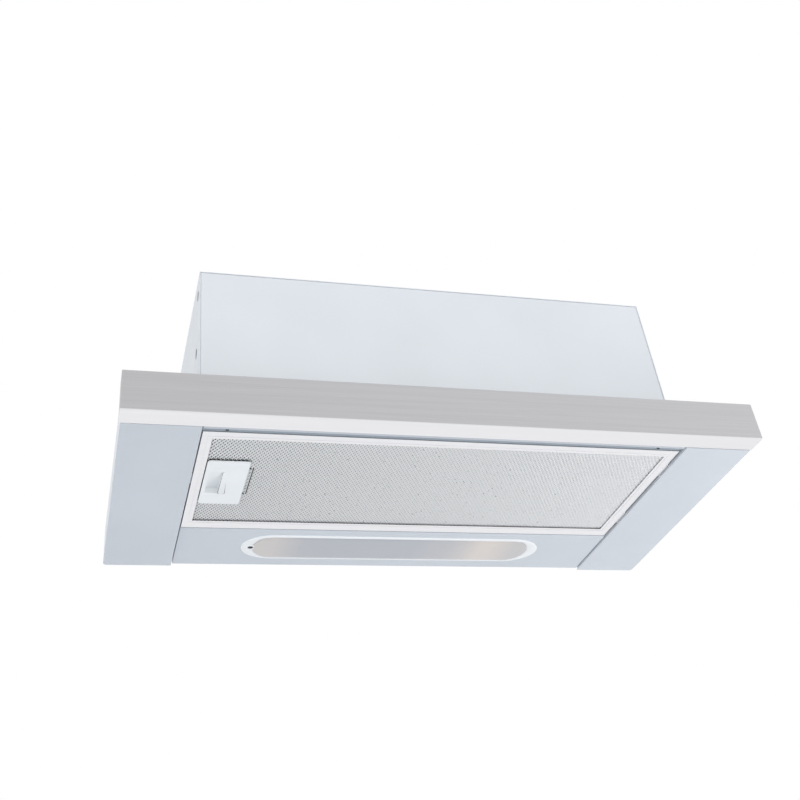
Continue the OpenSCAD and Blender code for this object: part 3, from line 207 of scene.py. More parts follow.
class HoodStudio(bpy.types.PropertyGroup):
    """Camera and lamps of the studio"""
    lens: FloatProperty(
        name="Lens", description="Focal length of the camera in millimetres",
        min=20, max=120, default=48.42)
    azimuth: FloatProperty(
        name="Azimuth", description="Direction in which the camera looks, from the wall's normal",
        subtype="ANGLE", default=radians(18.92))
    tilt: FloatProperty(
        name="Tilt", description="Angle by which the camera looks up",
        subtype="ANGLE", default=radians(37.737))
    roll: FloatProperty(
        name="Roll", description="Turn of the camera about its line of sight",
        subtype="ANGLE", default=radians(7.337))
    place: FloatVectorProperty(
        name="Camera place", description="Where the camera stands",
        subtype="XYZ", unit="LENGTH", size=3, default=(-0.32252, -0.9157, -0.48111))
    fill: FloatProperty(
        name="Fill", description="Strength of the even light all round", min=0, max=2, default=0.66)
    floor_z: FloatProperty(
        name="Floor height", description="Height of the floor below the hung hood",
        unit="LENGTH", max=0, default=-1.15)


# ---- Material nodes ----

def start_material(name, colour, metallic=0.0, roughness=0.4):
    """A new material, and the shader that carries its constant values"""
    mat = bpy.data.materials.new(name)
    mat.use_nodes = True
    shader = mat.node_tree.nodes["Principled BSDF"]
    shader.inputs["Base Color"].default_value = (*colour, 1)
    shader.inputs["Metallic"].default_value = metallic
    shader.inputs["Roughness"].default_value = roughness
    mat.diffuse_color = (*colour, 1)
    return mat, shader


def add_node(owner, kind, settings=None, inputs=None):
    """A node in a material or a world, with its settings and its inputs' values or links"""
    made = owner.node_tree.nodes.new(kind)
    for key, value in (settings or {}).items():
        setattr(made, key, value)
    for key, value in (inputs or {}).items():
        if isinstance(value, bpy.types.NodeSocket):
            owner.node_tree.links.new(value, made.inputs[key])
        else:
            made.inputs[key].default_value = value
    return made


def place_of(mat, stretch=(1, 1, 1), centre=(0, 0, 0), turn=0.0):
    """Object coordinates, centred and then stretched for a pattern"""
    coords = add_node(mat, "ShaderNodeTexCoord").outputs["Object"]
    moved = add_node(mat, "ShaderNodeVectorMath", {"operation": "SUBTRACT"},
                     {0: coords, 1: centre}).outputs[0]
    return add_node(mat, "ShaderNodeMapping", {"vector_type": "POINT"},
                    {"Vector": moved, "Rotation": (0, 0, turn), "Scale": stretch}).outputs[0]


def noise(mat, scale, stretch=(1, 1, 1), detail=3.0, roughness=0.5):
    """Soft noise fixed to the piece"""
    return add_node(mat, "ShaderNodeTexNoise", None, {
        "Vector": place_of(mat, stretch), "Scale": scale, "Detail": detail,
        "Roughness": roughness}).outputs["Fac"]


def cells(mat, scale, stretch=(1, 1, 1), output="Distance", feature="F1"):
    """A pattern of cells fixed to the piece"""
    return add_node(mat, "ShaderNodeTexVoronoi", {"feature": feature}, {
        "Vector": place_of(mat, stretch), "Scale": scale}).outputs[output]


def part_of(mat, axis, centre=(0, 0, 0)):
    """One coordinate of the place, measured from a centre"""
    return add_node(mat, "ShaderNodeSeparateXYZ", None,
                    {"Vector": place_of(mat, centre=centre)}).outputs[axis]


def run_between(mat, value, low, high):
    """A share that runs from 0 to 1 as a value runs from low to high"""
    return add_node(mat, "ShaderNodeMapRange", None, {
        "Value": value, "From Min": low, "From Max": high}).outputs["Result"]


def mixed_colour(mat, factor, a, b, blend="MIX"):
    """Two colours or colour sockets, mixed by a factor"""
    return add_node(mat, "ShaderNodeMix", {"data_type": "RGBA", "blend_type": blend}, {
        "Factor": factor, "A": a, "B": b}).outputs["Result"]


def light_paths(owner, *kinds):
    """1 for rays of the given kinds, and 0 for all others"""
    path = add_node(owner, "ShaderNodeLightPath")
    found = path.outputs[kinds[0]]
    for kind in kinds[1:]:
        found = add_node(owner, "ShaderNodeMath", {"operation": "MAXIMUM"},
                         {0: found, 1: path.outputs[kind]}).outputs[0]
    return found


def tone(colour, factor):
    """A lighter or darker tone of a colour"""
    return tuple(min(1.0, c * factor) for c in colour)


def lay_colour(mat, shader, colour):
    """Link a colour to the shader's base colour"""
    mat.node_tree.links.new(colour, shader.inputs["Base Color"])


def colour_between(mat, shader, factor, low, high, span=(0.3, 0.7)):
    """The base colour runs from low to high as the factor runs over the span"""
    ramp = add_node(mat, "ShaderNodeValToRGB", None, {"Fac": factor})
    ends = ramp.color_ramp.elements
    ends[0].position, ends[1].position = span
    ends[0].color, ends[1].color = (*low, 1), (*high, 1)
    lay_colour(mat, shader, ramp.outputs["Color"])
    return ramp.outputs["Color"]


def roughness_between(mat, shader, factor, low, high):
    """The roughness runs from low to high over the middle of a noise's range"""
    spread = add_node(mat, "ShaderNodeMapRange", None, {
        "Value": factor, "From Min": 0.3, "From Max": 0.7, "To Min": low, "To Max": high})
    mat.node_tree.links.new(spread.outputs["Result"], shader.inputs["Roughness"])


def relief(mat, shader, height, strength, distance, below=None):
    """A bump from a height, laid over an earlier one"""
    inputs = {"Height": height, "Strength": strength, "Distance": distance}
    if below is not None:
        inputs["Normal"] = below
    made = add_node(mat, "ShaderNodeBump", None, inputs).outputs["Normal"]
    mat.node_tree.links.new(made, shader.inputs["Normal"])
    return made


# ---- Finishes ----

def satin_paint(colours):
    """Baked paint with a fine flow"""
    c = tuple(colours.paint)
    mat, shader = start_material("satin_paint", c, 0.0, 0.38)
    drift = noise(mat, 9.0, detail=2.0)
    colour_between(mat, shader, drift, tone(c, 0.975), tone(c, 1.02))
    roughness_between(mat, shader, noise(mat, 60.0), 0.34, 0.42)
    flow = relief(mat, shader, noise(mat, 900.0, detail=2.0), 0.05, 0.0002)
    relief(mat, shader, noise(mat, 25.0, detail=1.0), 0.04, 0.002, flow)
    return mat


def brushed_steel(colours):
    """Steel brushed along the strip, with painted shade at its left end and a painted highlight on
    its folded underside
    """
    c = tuple(colours.steel)
    mat, shader = start_material("brushed_steel", c, 1.0, 0.36)
    fine = noise(mat, 1.0, (14, 2600, 2600), detail=4.0, roughness=0.7)
    broad = noise(mat, 1.0, (3, 300, 300), detail=2.0)
    both = add_node(mat, "ShaderNodeMix", {"data_type": "FLOAT"},
                    {"Factor": 0.35, "A": fine, "B": broad}).outputs["Result"]
    grain = colour_between(mat, shader, both, tone(c, 0.90), tone(c, 1.08), (0.32, 0.68))
    # painted shade makes the left end a little darker, and a painted highlight makes the folded
    # underside lighter
    across = run_between(mat, part_of(mat, "X"), cad_low.x, cad_high.x)
    ends = mixed_colour(mat, across, (0.90, 0.895, 0.895, 1), (1.0, 1.0, 1.0, 1))
    grain_and_painted_shade = mixed_colour(mat, 1.0, grain, ends, "MULTIPLY")
    under = run_between(mat, part_of(mat, "Z"), 0.0014, 0.0008)
    lay_colour(mat, shader, mixed_colour(mat, under, grain_and_painted_shade, (*tone(c, 1.55), 1)))
    roughness_between(mat, shader, both, 0.28, 0.46)
    relief(mat, shader, fine, 0.10, 0.0001)
    return mat


def zinc_plate():
    """Zinc with its spangle"""
    c = (0.60, 0.62, 0.64)
    mat, shader = start_material("zinc_plate", c, 0.9, 0.4)
    spangle = cells(mat, 160.0, output="Color")
    grey = add_node(mat, "ShaderNodeSeparateColor", None, {"Color": spangle}).outputs["Red"]
    colour_between(mat, shader, grey, tone(c, 0.86), tone(c, 1.1), (0.1, 0.9))
    roughness_between(mat, shader, grey, 0.34, 0.46)
    relief(mat, shader, noise(mat, 700.0), 0.06, 0.0002)
    return mat


def satin_aluminium(colours):
    """Rolled aluminium of the filter's frame"""
    c = tuple(colours.frame)
    mat, shader = start_material("satin_aluminium", c, 0.7, 0.42)
    streak = noise(mat, 1.0, (40, 900, 900), detail=3.0)
    colour_between(mat, shader, streak, tone(c, 0.96), tone(c, 1.03))
    roughness_between(mat, shader, streak, 0.38, 0.46)
    relief(mat, shader, noise(mat, 1200.0), 0.04, 0.0001)
    return mat


def net_aluminium(name, c, metallic):
    """Slit and stretched aluminium"""
    mat, shader = start_material(name, c, metallic, 0.30)
    drift = noise(mat, 260.0, detail=3.0, roughness=0.65)
    colour_between(mat, shader, drift, tone(c, 0.95), tone(c, 1.03))
    roughness_between(mat, shader, drift, 0.26, 0.44)
    relief(mat, shader, noise(mat, 1800.0), 0.08, 0.0001)
    return mat


def packed_net():
    """The dense layers deep in the filter, seen through the nets in front of them, painted dark for
    the shade they lie in
    """
    mat, shader = start_material("packed_net", (0.2, 0.2, 0.205), 0.6, 0.5)
    mesh = cells(mat, 1.0, (420, 380, 380), feature="DISTANCE_TO_EDGE")
    # painted shade: a dark grey web round near black holes
    colour_between(mat, shader, mesh, (0.24, 0.245, 0.25), (0.03, 0.031, 0.033), (0.04, 0.26))
    relief(mat, shader, mesh, 0.6, -0.0004)
    return mat


def moulded(name, colour, gloss, grain):
    """A moulded plastic with a fine spark eroded grain"""
    mat, shader = start_material(name, colour, 0.0, gloss)
    drift = noise(mat, 30.0, detail=2.0)
    colour_between(mat, shader, drift, tone(colour, 0.97), tone(colour, 1.02))
    roughness_between(mat, shader, noise(mat, 400.0), gloss * 0.9, gloss * 1.12)
    relief(mat, shader, noise(mat, 2200.0, detail=2.0), grain, 0.0001)
    return mat


def black_screw():
    """Blackened steel, worn at the edges"""
    mat, shader = start_material("black_screw", (0.02, 0.021, 0.023), 0.7, 0.4)
    wear = noise(mat, 900.0, detail=3.0)
    colour_between(mat, shader, wear, (0.015, 0.016, 0.018), (0.06, 0.062, 0.065), (0.4, 0.8))
    relief(mat, shader, wear, 0.1, 0.0001)
    return mat


def white_enamel():
    """Enamel of the tray behind the lamps"""
    mat, shader = start_material("white_enamel", (0.86, 0.87, 0.88), 0.0, 0.25)
    drift = noise(mat, 20.0)
    colour_between(mat, shader, drift, (0.83, 0.84, 0.85), (0.89, 0.90, 0.91))
    relief(mat, shader, noise(mat, 500.0), 0.04, 0.0002)
    return mat


def pearl_glass():
    """Pearl glass of the lamps, faintly lit"""
    mat, shader = start_material("pearl_glass", (0.95, 0.90, 0.80), 0.0, 0.22)
    drift = noise(mat, 80.0)
    colour_between(mat, shader, drift, (0.93, 0.87, 0.76), (0.97, 0.93, 0.85))
    shader.inputs["Emission Color"].default_value = (1.0, 0.86, 0.66, 1)
    shader.inputs["Emission Strength"].default_value = 0.25
    shader.inputs["Coat Weight"].default_value = 0.6
    return mat


def glazed_ceramic():
    """Ceramic of the lamp holders"""
    mat, shader = start_material("glazed_ceramic", (0.88, 0.88, 0.85), 0.0, 0.3)
    drift = noise(mat, 120.0, detail=4.0)
    colour_between(mat, shader, drift, (0.83, 0.83, 0.80), (0.90, 0.90, 0.87))
    relief(mat, shader, noise(mat, 900.0), 0.08, 0.0002)
    return mat


def matt_rubber():
    """Rubber of the motor's bushes"""
    mat, shader = start_material("matt_rubber", (0.03, 0.03, 0.031), 0.0, 0.75)
    drift = noise(mat, 300.0)
    colour_between(mat, shader, drift, (0.024, 0.024, 0.025), (0.045, 0.045, 0.046))
    relief(mat, shader, noise(mat, 1500.0), 0.2, 0.0002)
    return mat


def motor_lacquer():
    """Lacquer over the motor's stacked sheets"""
    mat, shader = start_material("motor_lacquer", (0.30, 0.32, 0.35), 0.6, 0.45)
    layers = add_node(mat, "ShaderNodeTexWave", {"wave_type": "BANDS", "bands_direction": "X"}, {
        "Vector": place_of(mat), "Scale": 320.0, "Distortion": 0.4}).outputs["Fac"]
    colour_between(mat, shader, layers, (0.24, 0.26, 0.29), (0.36, 0.38, 0.41))
    relief(mat, shader, layers, 0.25, 0.0003)
    return mat


def clouded_cover(colours):
    """Clouded plastic with the lamps' glow painted onto it in front of each lamp, and fine ribs
    inside
    """
    c, glow_colour = tuple(colours.cover), tuple(colours.glow)
    low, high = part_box("lamp_cover")
    middle = (low + high) / 2
    half = (high.x - low.x) / 2
    mat, shader = start_material("clouded_cover", c, 0.0, 0.22)
    shader.inputs["Coat Weight"].default_value = 0.5
    shader.inputs["Coat Roughness"].default_value = 0.12
    # painted light: along the cover the colour runs from its own grey to the glow's colour in front
    # of each lamp
    share = run_between(mat, part_of(mat, "X", tuple(middle)), -half, half)
    ramp = add_node(mat, "ShaderNodeValToRGB", None, {"Fac": share})
    stops = ramp.color_ramp.elements
    positions = [min(1.0, max(0.0, 0.5 + place / half / 2)) for place, _ in COVER_LAMP_GLOW]
    for position in positions[1:-1]:
        stops.new(position)
    for stop, position, (_, glow_share) in zip(stops, positions, COVER_LAMP_GLOW):
        stop.position = position
        stop.color = (*(a + (b - a) * glow_share for a, b in zip(c, glow_colour)), 1)
    mottled = noise(mat, 130.0, detail=4.0)
    lay_colour(mat, shader, mixed_colour(mat, mottled, ramp.outputs["Color"],
                                         (0.95, 0.95, 0.96, 1), "MULTIPLY"))
    ribs = add_node(mat, "ShaderNodeTexWave", {"wave_type": "BANDS", "bands_direction": "Y"}, {
        "Vector": place_of(mat), "Scale": 260.0, "Distortion": 0.3}).outputs["Fac"]
    relief(mat, shader, ribs, 0.08, 0.0003)
    return mat


def cover_rim(colours):
    """The glossy clear rim of the lamp cover over the paint"""
    c = tone(tuple(colours.plastic), 0.97)
    mat, shader = start_material("cover_rim", c, 0.0, 0.18)
    colour_between(mat, shader, noise(mat, 45.0, detail=2.0), tone(c, 0.96), c)
    shader.inputs["Coat Weight"].default_value = 0.6
    shader.inputs["Coat Roughness"].default_value = 0.08
    relief(mat, shader, noise(mat, 300.0), 0.03, 0.0001)
    return mat


def recess_painted_shade(colours):
    """Painted shade in the channel behind the strip: grey blue that darkens towards the filter,
    where shade falls
    """
    c, edge = tuple(colours.recess_shade), tone(tuple(colours.paint), 0.92)
    mat, shader = start_material("recess_painted_shade", c, 0.0, 0.42)
    # painted shade: the lip keeps a paint tone up to 25.5 mm behind the strip's front, and from
    # 26.5 mm the shaded blue grey begins
    inward = run_between(mat, part_of(mat, "Y", (0, FRONT, 0)), 0.0255, 0.0265)
    both = mixed_colour(mat, inward, (*edge, 1), (*c, 1))
    lay_colour(mat, shader, mixed_colour(mat, noise(mat, 40.0), both,
                                         (0.95, 0.95, 0.95, 1), "MULTIPLY"))
    relief(mat, shader, noise(mat, 900.0), 0.05, 0.0002)
    return mat


# ---- Pieces ----

FINISHES = {}


def finish(name):
    """A finish that the first step has made"""
    if name not in FINISHES:
        raise RuntimeError("The finishes come before the pieces, and there is none named " + name)
    return FINISHES[name]


def add_piece(name, bm, mat, body, replaced=(), smooth_angle=35):
    """Turn a bmesh into a finished piece that rides on a body"""
    mesh = bpy.data.meshes.new(name)
    bm.to_mesh(mesh)
    bm.free()
    mesh.materials.append(mat)
    mesh.shade_smooth()
    mesh.set_sharp_from_angle(angle=radians(smooth_angle))
    piece = bpy.data.objects.new(name, mesh)
    bpy.context.scene.collection.objects.link(piece)
    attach(piece, body)
    if replaced:
        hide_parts(*replaced)
    return piece


def soften(node, name, width):
    """A copy of a CAD piece whose sharp folded edges are rounded off"""
    bm = bmesh.new()
    bm.from_mesh(frame["nodes"][node].data)
    bmesh.ops.remove_doubles(bm, verts=bm.verts, dist=1e-6)
    bmesh.ops.dissolve_limit(bm, angle_limit=radians(0.5), verts=bm.verts, edges=bm.edges)
    slot = NODE_SLOT[node]
    piece = add_piece(name, bm, finish(slot), NODE_BODY[node], (node,))
    round_off(piece, width, 40)
    return piece


def round_off(piece, width, angle=35):
    """Round the sharp edges of a piece"""
    bevel = piece.modifiers.new("soft_edges", "BEVEL")
    bevel.width = width
    bevel.segments = 2
    bevel.limit_method = "ANGLE"
    bevel.angle_limit = radians(angle)
    bevel.harden_normals = True


def diamond_net(low, high, pitch, strand, tilt, thick, holes=()):
    """A sheet of expanded metal between two corners, its middle plane at their mean height"""
    bm = bmesh.new()
    columns = (high.x - low.x) / pitch[0]
    rows = (high.y - low.y) / pitch[1]
    count = int(columns + rows) + 3
    bmesh.ops.create_grid(bm, x_segments=count, y_segments=count, size=count / 2)
    bmesh.ops.rotate(bm, verts=bm.verts, matrix=Matrix.Rotation(pi / 4, 3, "Z"))
    bmesh.ops.scale(bm, verts=bm.verts, vec=(pitch[0] / sqrt(2), pitch[1] / sqrt(2), 1))
    bmesh.ops.translate(bm, verts=bm.verts, vec=(low + high) / 2)

    def outside(p):
        if not (low.x < p.x < high.x and low.y < p.y < high.y):
            return True
        return any(a.x < p.x < b.x and a.y < p.y < b.y for a, b in holes)

    spare = [f for f in bm.faces if outside(f.calc_center_median())]
    bmesh.ops.delete(bm, geom=spare, context="FACES")
    openings = list(bm.faces)
    bmesh.ops.inset_individual(bm, faces=openings, thickness=strand / 2, use_even_offset=True)
    for face in openings:
        centre = face.calc_center_median()
        for vert in face.verts:
            vert.co.z += tilt * (vert.co.x - centre.x) / (pitch[0] / 2)
    bmesh.ops.delete(bm, geom=openings, context="FACES_ONLY")
    bmesh.ops.recalc_face_normals(bm, faces=bm.faces)
    bmesh.ops.solidify(bm, geom=bm.faces[:], thickness=thick)
    bmesh.ops.translate(bm, verts=bm.verts, vec=(0, 0, thick / 2))
    bmesh.ops.recalc_face_normals(bm, faces=bm.faces)
    return bm


def block(bm, low, high):
    """A closed block between two corners"""
    size = Vector(high) - Vector(low)
    made = bmesh.ops.create_cube(bm, size=1)["verts"]
    bmesh.ops.scale(bm, verts=made, vec=size)
    bmesh.ops.translate(bm, verts=made, vec=(Vector(low) + Vector(high)) / 2)
    return made


def rounded_plate(bm, low, high, radius, segments=8):
    """A block whose four upright edges are rounded"""
    made = set(block(bm, low, high))
    upright = [e for e in bm.edges if set(e.verts) <= made
               and abs(e.verts[0].co.z - e.verts[1].co.z) > 0.5 * (high[2] - low[2])]
    bmesh.ops.bevel(bm, geom=upright, offset=radius, offset_type="OFFSET", segments=segments,
                    profile=0.5, affect="EDGES", material=-1)


def grip_shape(bm, low, high):
    """A bar with round ends and softened lower edges between two corners"""
    before = set(bm.faces)
    rounded_plate(bm, low, high, (high.x - low.x) / 2 - 0.0001, 10)
    bm.normal_update()
    bottom = [f for f in bm.faces if f not in before and f.normal.z < -0.9]
    bmesh.ops.inset_region(bm, faces=bottom, thickness=0.0006, depth=0.0004)


def flat_ring(bm, low, high, width, height):
    """A closed rectangular ring between two corners, standing on zero height"""
    bmesh.ops.create_grid(bm, x_segments=1, y_segments=1, size=0.5)
    bmesh.ops.scale(bm, verts=bm.verts, vec=(high.x - low.x, high.y - low.y, 1))
    bmesh.ops.translate(bm, verts=bm.verts, vec=((low.x + high.x) / 2, (low.y + high.y) / 2, 0))
    inner = bm.faces[:]
    bmesh.ops.inset_region(bm, faces=inner, thickness=width, use_boundary=True,
                           use_even_offset=True)
    bmesh.ops.delete(bm, geom=inner, context="FACES")
    bmesh.ops.solidify(bm, geom=bm.faces[:], thickness=height)
    lowest = min(v.co.z for v in bm.verts)
    bmesh.ops.translate(bm, verts=bm.verts, vec=(0, 0, -lowest))
    bmesh.ops.recalc_face_normals(bm, faces=bm.faces)


def packed_plates(bm, low, high, gaps):
    """Blocks that fill a box from above, apart from the gaps given by their corners"""
    xs = sorted({low[0], high[0], *(c.x for gap in gaps for c in gap)})
    ys = sorted({low[1], high[1], *(c.y for gap in gaps for c in gap)})
    xs = [x for x in xs if low[0] <= x <= high[0]]
    ys = [y for y in ys if low[1] <= y <= high[1]]
    for x0, x1 in zip(xs, xs[1:]):
        for y0, y1 in zip(ys, ys[1:]):
            x, y = (x0 + x1) / 2, (y0 + y1) / 2
            if not any(a.x < x < b.x and a.y < y < b.y for a, b in gaps):
                block(bm, (x0, y0, low[2]), (x1, y1, high[2]))


def taper(verts, low, high, narrow):
    """Narrow a shape in width towards its front end"""
    for vert in verts:
        share = (vert.co.y - low.y) / (high.y - low.y)
        vert.co.x = low.x + (vert.co.x - low.x) * (narrow + (1 - narrow) * share)


def net_window():
    """Corners of the window in the filter's frame"""
    low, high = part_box("filter_frame")
    body_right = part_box("filter_net")[1].x + FRAME_WALL
    return (Vector((low.x + BORDER_LEFT, low.y + BORDER_FRONT, low.z)),
            Vector((body_right - BORDER_RIGHT, high.y - BORDER_REAR, high.z)))


def handle_plate():
    """Corners of the plate of the filter's handle"""
    low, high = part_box("latch_handle")
    return Vector((high.x - PLATE_WIDTH, low.y, low.z)), Vector((high.x, high.y, high.z))


def turned(bm, centre, profile, steps=32):
    """A ring or knob about an upright axis, spun from its outline in radius and height"""
    made = [bm.verts.new((centre.x + r, centre.y, z)) for r, z in profile]
    edges = [bm.edges.new(pair) for pair in zip(made, made[1:])]
    bmesh.ops.spin(bm, geom=made + edges, cent=(centre.x, centre.y, 0), axis=(0, 0, 1),
                   angle=2 * pi, steps=steps, use_merge=True, dvec=(0, 0, 0))


def cut_lines(bm, axis, places):
    """Cut all faces with upright planes at some places along an axis"""
    for place in places:
        point, normal = [0, 0, 0], [0, 0, 0]
        point[axis], normal[axis] = place, 1
        bmesh.ops.bisect_plane(bm, geom=bm.verts[:] + bm.edges[:] + bm.faces[:],
                               plane_co=point, plane_no=normal)


def faces_in(bm, low, high, z):
    """The level faces at a height whose middles lie between two corners"""
    found = []
    for face in bm.faces:
        c = face.calc_center_median()
        if abs(c.z - z) < 1e-5 and abs(face.normal.z) > 0.9:
            if low.x < c.x < high.x and low.y < c.y < high.y:
                found.append(face)
    return found


def push_out(bm, faces, rise):
    """Extrude a patch of faces and move it along Z, and give its new vertices"""
    grown = bmesh.ops.extrude_face_region(bm, geom=faces)["geom"]
    moved = [g for g in grown if isinstance(g, bmesh.types.BMVert)]
    bmesh.ops.translate(bm, verts=moved, vec=(0, 0, rise))
    bmesh.ops.delete(bm, geom=[f for f in faces if f.is_valid], context="FACES_ONLY")
    return moved


def long_outline(bm, middle, half, nose, wide, z, segments=96):
    """A flat face with straight sides and two elliptic ends"""
    made = bmesh.ops.create_circle(bm, cap_ends=True, segments=segments, radius=1)["verts"]
    bmesh.ops.scale(bm, verts=made, vec=(nose, wide, 1))
    for way in (-1, 1):
        side = [v for v in made if v.co.x * way > 1e-6]
        bmesh.ops.translate(bm, verts=side, vec=(half * way, 0, 0))
    bmesh.ops.translate(bm, verts=made, vec=(middle.x, middle.y, z))
    return made[0].link_faces[0]


def step_in(bm, face, middle, half, ratio, drop):
    """Inset a long outline towards the centres of its ends, and lower what is inside"""
    bmesh.ops.inset_region(bm, faces=[face], thickness=1e-5, depth=0.0,
                           use_boundary=True, use_even_offset=True)
    inner = face.verts[:]
    for way in (-1, 0, 1):
        group = [v for v in inner if (v.co.x - middle.x) * way > 1e-4
                 or (way == 0 and abs(v.co.x - middle.x) <= 1e-4)]
        centre = Vector((middle.x + half * way, middle.y, 0))
        bmesh.ops.scale(bm, verts=group, vec=(*ratio, 1), space=Matrix.Translation(-centre))
    bmesh.ops.translate(bm, verts=inner, vec=(0, 0, -drop))


def close_up(bm):
    """Give an open shape its upper side, so that it is a closed body"""
    rim = [e for e in bm.edges if e.is_boundary]
    bmesh.ops.contextual_create(bm, geom=rim)
    bmesh.ops.recalc_face_normals(bm, faces=bm.faces)


# ---- Operators ----

class HOOD_OT_finishes(bpy.types.Operator):
    """Make the finishes, and give every CAD piece the finish of its slot, apart from three that get
    painted shade
    """
    bl_idname = "hood.finishes"
    bl_label = "Finishes"
    bl_options = {"REGISTER", "UNDO"}

    def execute(self, context):
        colours = context.scene.hood_colours
        net = tuple(colours.net)
        FINISHES.update({
            "paint": satin_paint(colours),
            "steel": brushed_steel(colours),
            "zinc": zinc_plate(),
            "aluminium": satin_aluminium(colours),
            "mesh": net_aluminium("net_aluminium", net, 0.45),
            # painted shade: the second net is the net's aluminium at about a quarter of its
            # brightness, for the shade deep in the filter
            "deep_mesh_painted_shade": net_aluminium("deep_net_painted_shade", tone(net, 0.26), 0.7),
            "packed_net": packed_net(),
            "white_plastic": moulded("white_plastic", tuple(colours.plastic), 0.36, 0.04),
            "slit_shadow": moulded("slit_shadow", (0.16, 0.17, 0.175), 0.6, 0.05),
            "dark_plastic": moulded("dark_plastic", (0.035, 0.036, 0.04), 0.5, 0.12),
            "black_screw": black_screw(),
            "lamp_cover": clouded_cover(colours),
            "cover_rim": cover_rim(colours),
            "recess_shade": recess_painted_shade(colours),
            "reflector": white_enamel(),
            "lamp_glass": pearl_glass(),
            "ceramic": glazed_ceramic(),
            "volute_plastic": moulded("volute_plastic", (0.62, 0.64, 0.66), 0.45, 0.1),
            "rubber": matt_rubber(),
            "motor_steel": motor_lacquer(),
        })
        # painted shade: the bar behind the strip takes the shaded blue grey of the channel, and the
        # latch's white housing and the lamp cover's screw are made dark for the shade they lie in
        painted_shade_finishes = {"drawer_front_bar": "recess_shade", "latch_housing": "dark_plastic",
               "lamp_cover_screw": "black_screw"}
        for node, piece in frame["nodes"].items():
            for place in piece.material_slots:
                place.material = finish(painted_shade_finishes.get(node, NODE_SLOT[node]))
        return {"FINISHED"}


class HOOD_OT_sheet_edges(bpy.types.Operator):
    """Round the folds of the wings, the lamp panel and the filter's frame"""
    bl_idname = "hood.sheet_edges"
    bl_label = "Sheet edges"
    bl_options = {"REGISTER", "UNDO"}

    def execute(self, context):
        for side in ("left", "right"):
            soften(side + "_wing", side + "_wing_folded", WING_ROUND)
        panel = soften("lamp_panel", "lamp_panel_folded", PANEL_ROUND)
        self.widen(panel, PANEL_REACH, (-1, 1))
        border = soften("filter_frame", "filter_frame_folded", FRAME_ROUND)
        self.widen(border, FRAME_REACH, (-1,))

        window_low, window_high = net_window()
        bead = Vector((BEAD_OUT, BEAD_OUT, 0))
        bm = bmesh.new()
        flat_ring(bm, window_low - bead, window_high + bead, BEAD_WIDTH, BEAD_RISE + 0.0001)
        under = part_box("filter_frame")[0].z
        bmesh.ops.translate(bm, verts=bm.verts, vec=(0, 0, under - BEAD_RISE))
        slot = NODE_SLOT["filter_frame"]
        piece = add_piece("filter_frame_bead", bm, finish(slot), "filter")
        round_off(piece, BEAD_ROUND)
        return {"FINISHED"}

    def widen(self, piece, reach, ways):
        """Move the folded sides of a sheet outwards"""
        bm = bmesh.new()
        bm.from_mesh(piece.data)
        for way in ways:
            end = max(v.co.x * way for v in bm.verts)
            side = [v for v in bm.verts if v.co.x * way > end - FOLD_DEPTH]
            bmesh.ops.translate(bm, verts=side, vec=(reach * way, 0, 0))
        bm.to_mesh(piece.data)
        bm.free()


class HOOD_OT_grease_filter(bpy.types.Operator):
    """Lay the fine nets into the hinged filter"""
    bl_idname = "hood.grease_filter"
    bl_label = "Grease filter"
    bl_options = {"REGISTER", "UNDO"}

    def execute(self, context):
        nets = context.scene.hood_nets
        low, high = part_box("filter_net")
        core_low, core_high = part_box("filter_core")
        window_low, window_high = net_window()
        plate_low, plate_high = handle_plate()
        lap = Vector((NET_LAP, NET_LAP, 0))
        lift = Vector((0, 0, FACE_LIFT))
        corner = Vector((window_low.x, window_high.y, 0))
        bare_corner = (corner - Vector(CORNER_OUT), corner + Vector(CORNER_IN))
        behind_plate = (plate_low - Vector((PLATE_ROOM, 0, 0)), plate_high - lap)
        face = diamond_net(low + lap + lift, high - lap + lift, (nets.pitch_x, nets.pitch_y),
                           nets.strand, nets.tilt, NET_THICK, [behind_plate, bare_corner])
        add_piece("filter_face_net", face, finish("mesh"), "filter", ("filter_net",), 60)

        # the layers behind leave room for the latch, and a dark edge at the right and the rear
        room = Vector((HOUSING_ROOM, HOUSING_ROOM, 0))
        housing_low, housing_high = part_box("latch_housing")
        around_latch = (housing_low - room, housing_high + room)
        before_plate = (plate_low - Vector(SHADE_OUT),
                        Vector((plate_high.x, plate_low.y + SHADE_UNDER, 0)))
        right_edge = (Vector((window_high.x - nets.trench, low.y, 0)),
                      Vector((window_high.x + DARK_UNDER_BORDER, high.y, 0)))
        rear_edge = (Vector((low.x, window_high.y - nets.trench, 0)),
                     Vector((high.x, window_high.y + DARK_UNDER_BORDER, 0)))
        gaps = [around_latch, before_plate, right_edge, rear_edge]
        # the second net is painted darker than the face net, as shade
        rise = Vector((0, 0, core_low.z + SECOND_DEPTH - low.z))
        second = diamond_net(low + lap + rise, high - lap + rise, *SECOND_NET, holes=gaps)
        add_piece("filter_second_net", second, finish("deep_mesh_painted_shade"), "filter", (), 60)

        # the packing behind the nets, in packed_net, is painted dark as shade
        bm = bmesh.new()
        packed_plates(bm, core_low + Vector((0, 0, PACK_DEPTH)), core_high, gaps)
        add_piece("filter_pack", bm, finish("packed_net"), "filter", ("filter_core",))

        low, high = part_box("filter_back_net")
        rear = diamond_net(low + lap, high - lap, *REAR_NET, holes=[around_latch])
        add_piece("filter_rear_net", rear, finish("mesh"), "filter",
                  ("filter_back_net",), 60)
        return {"FINISHED"}


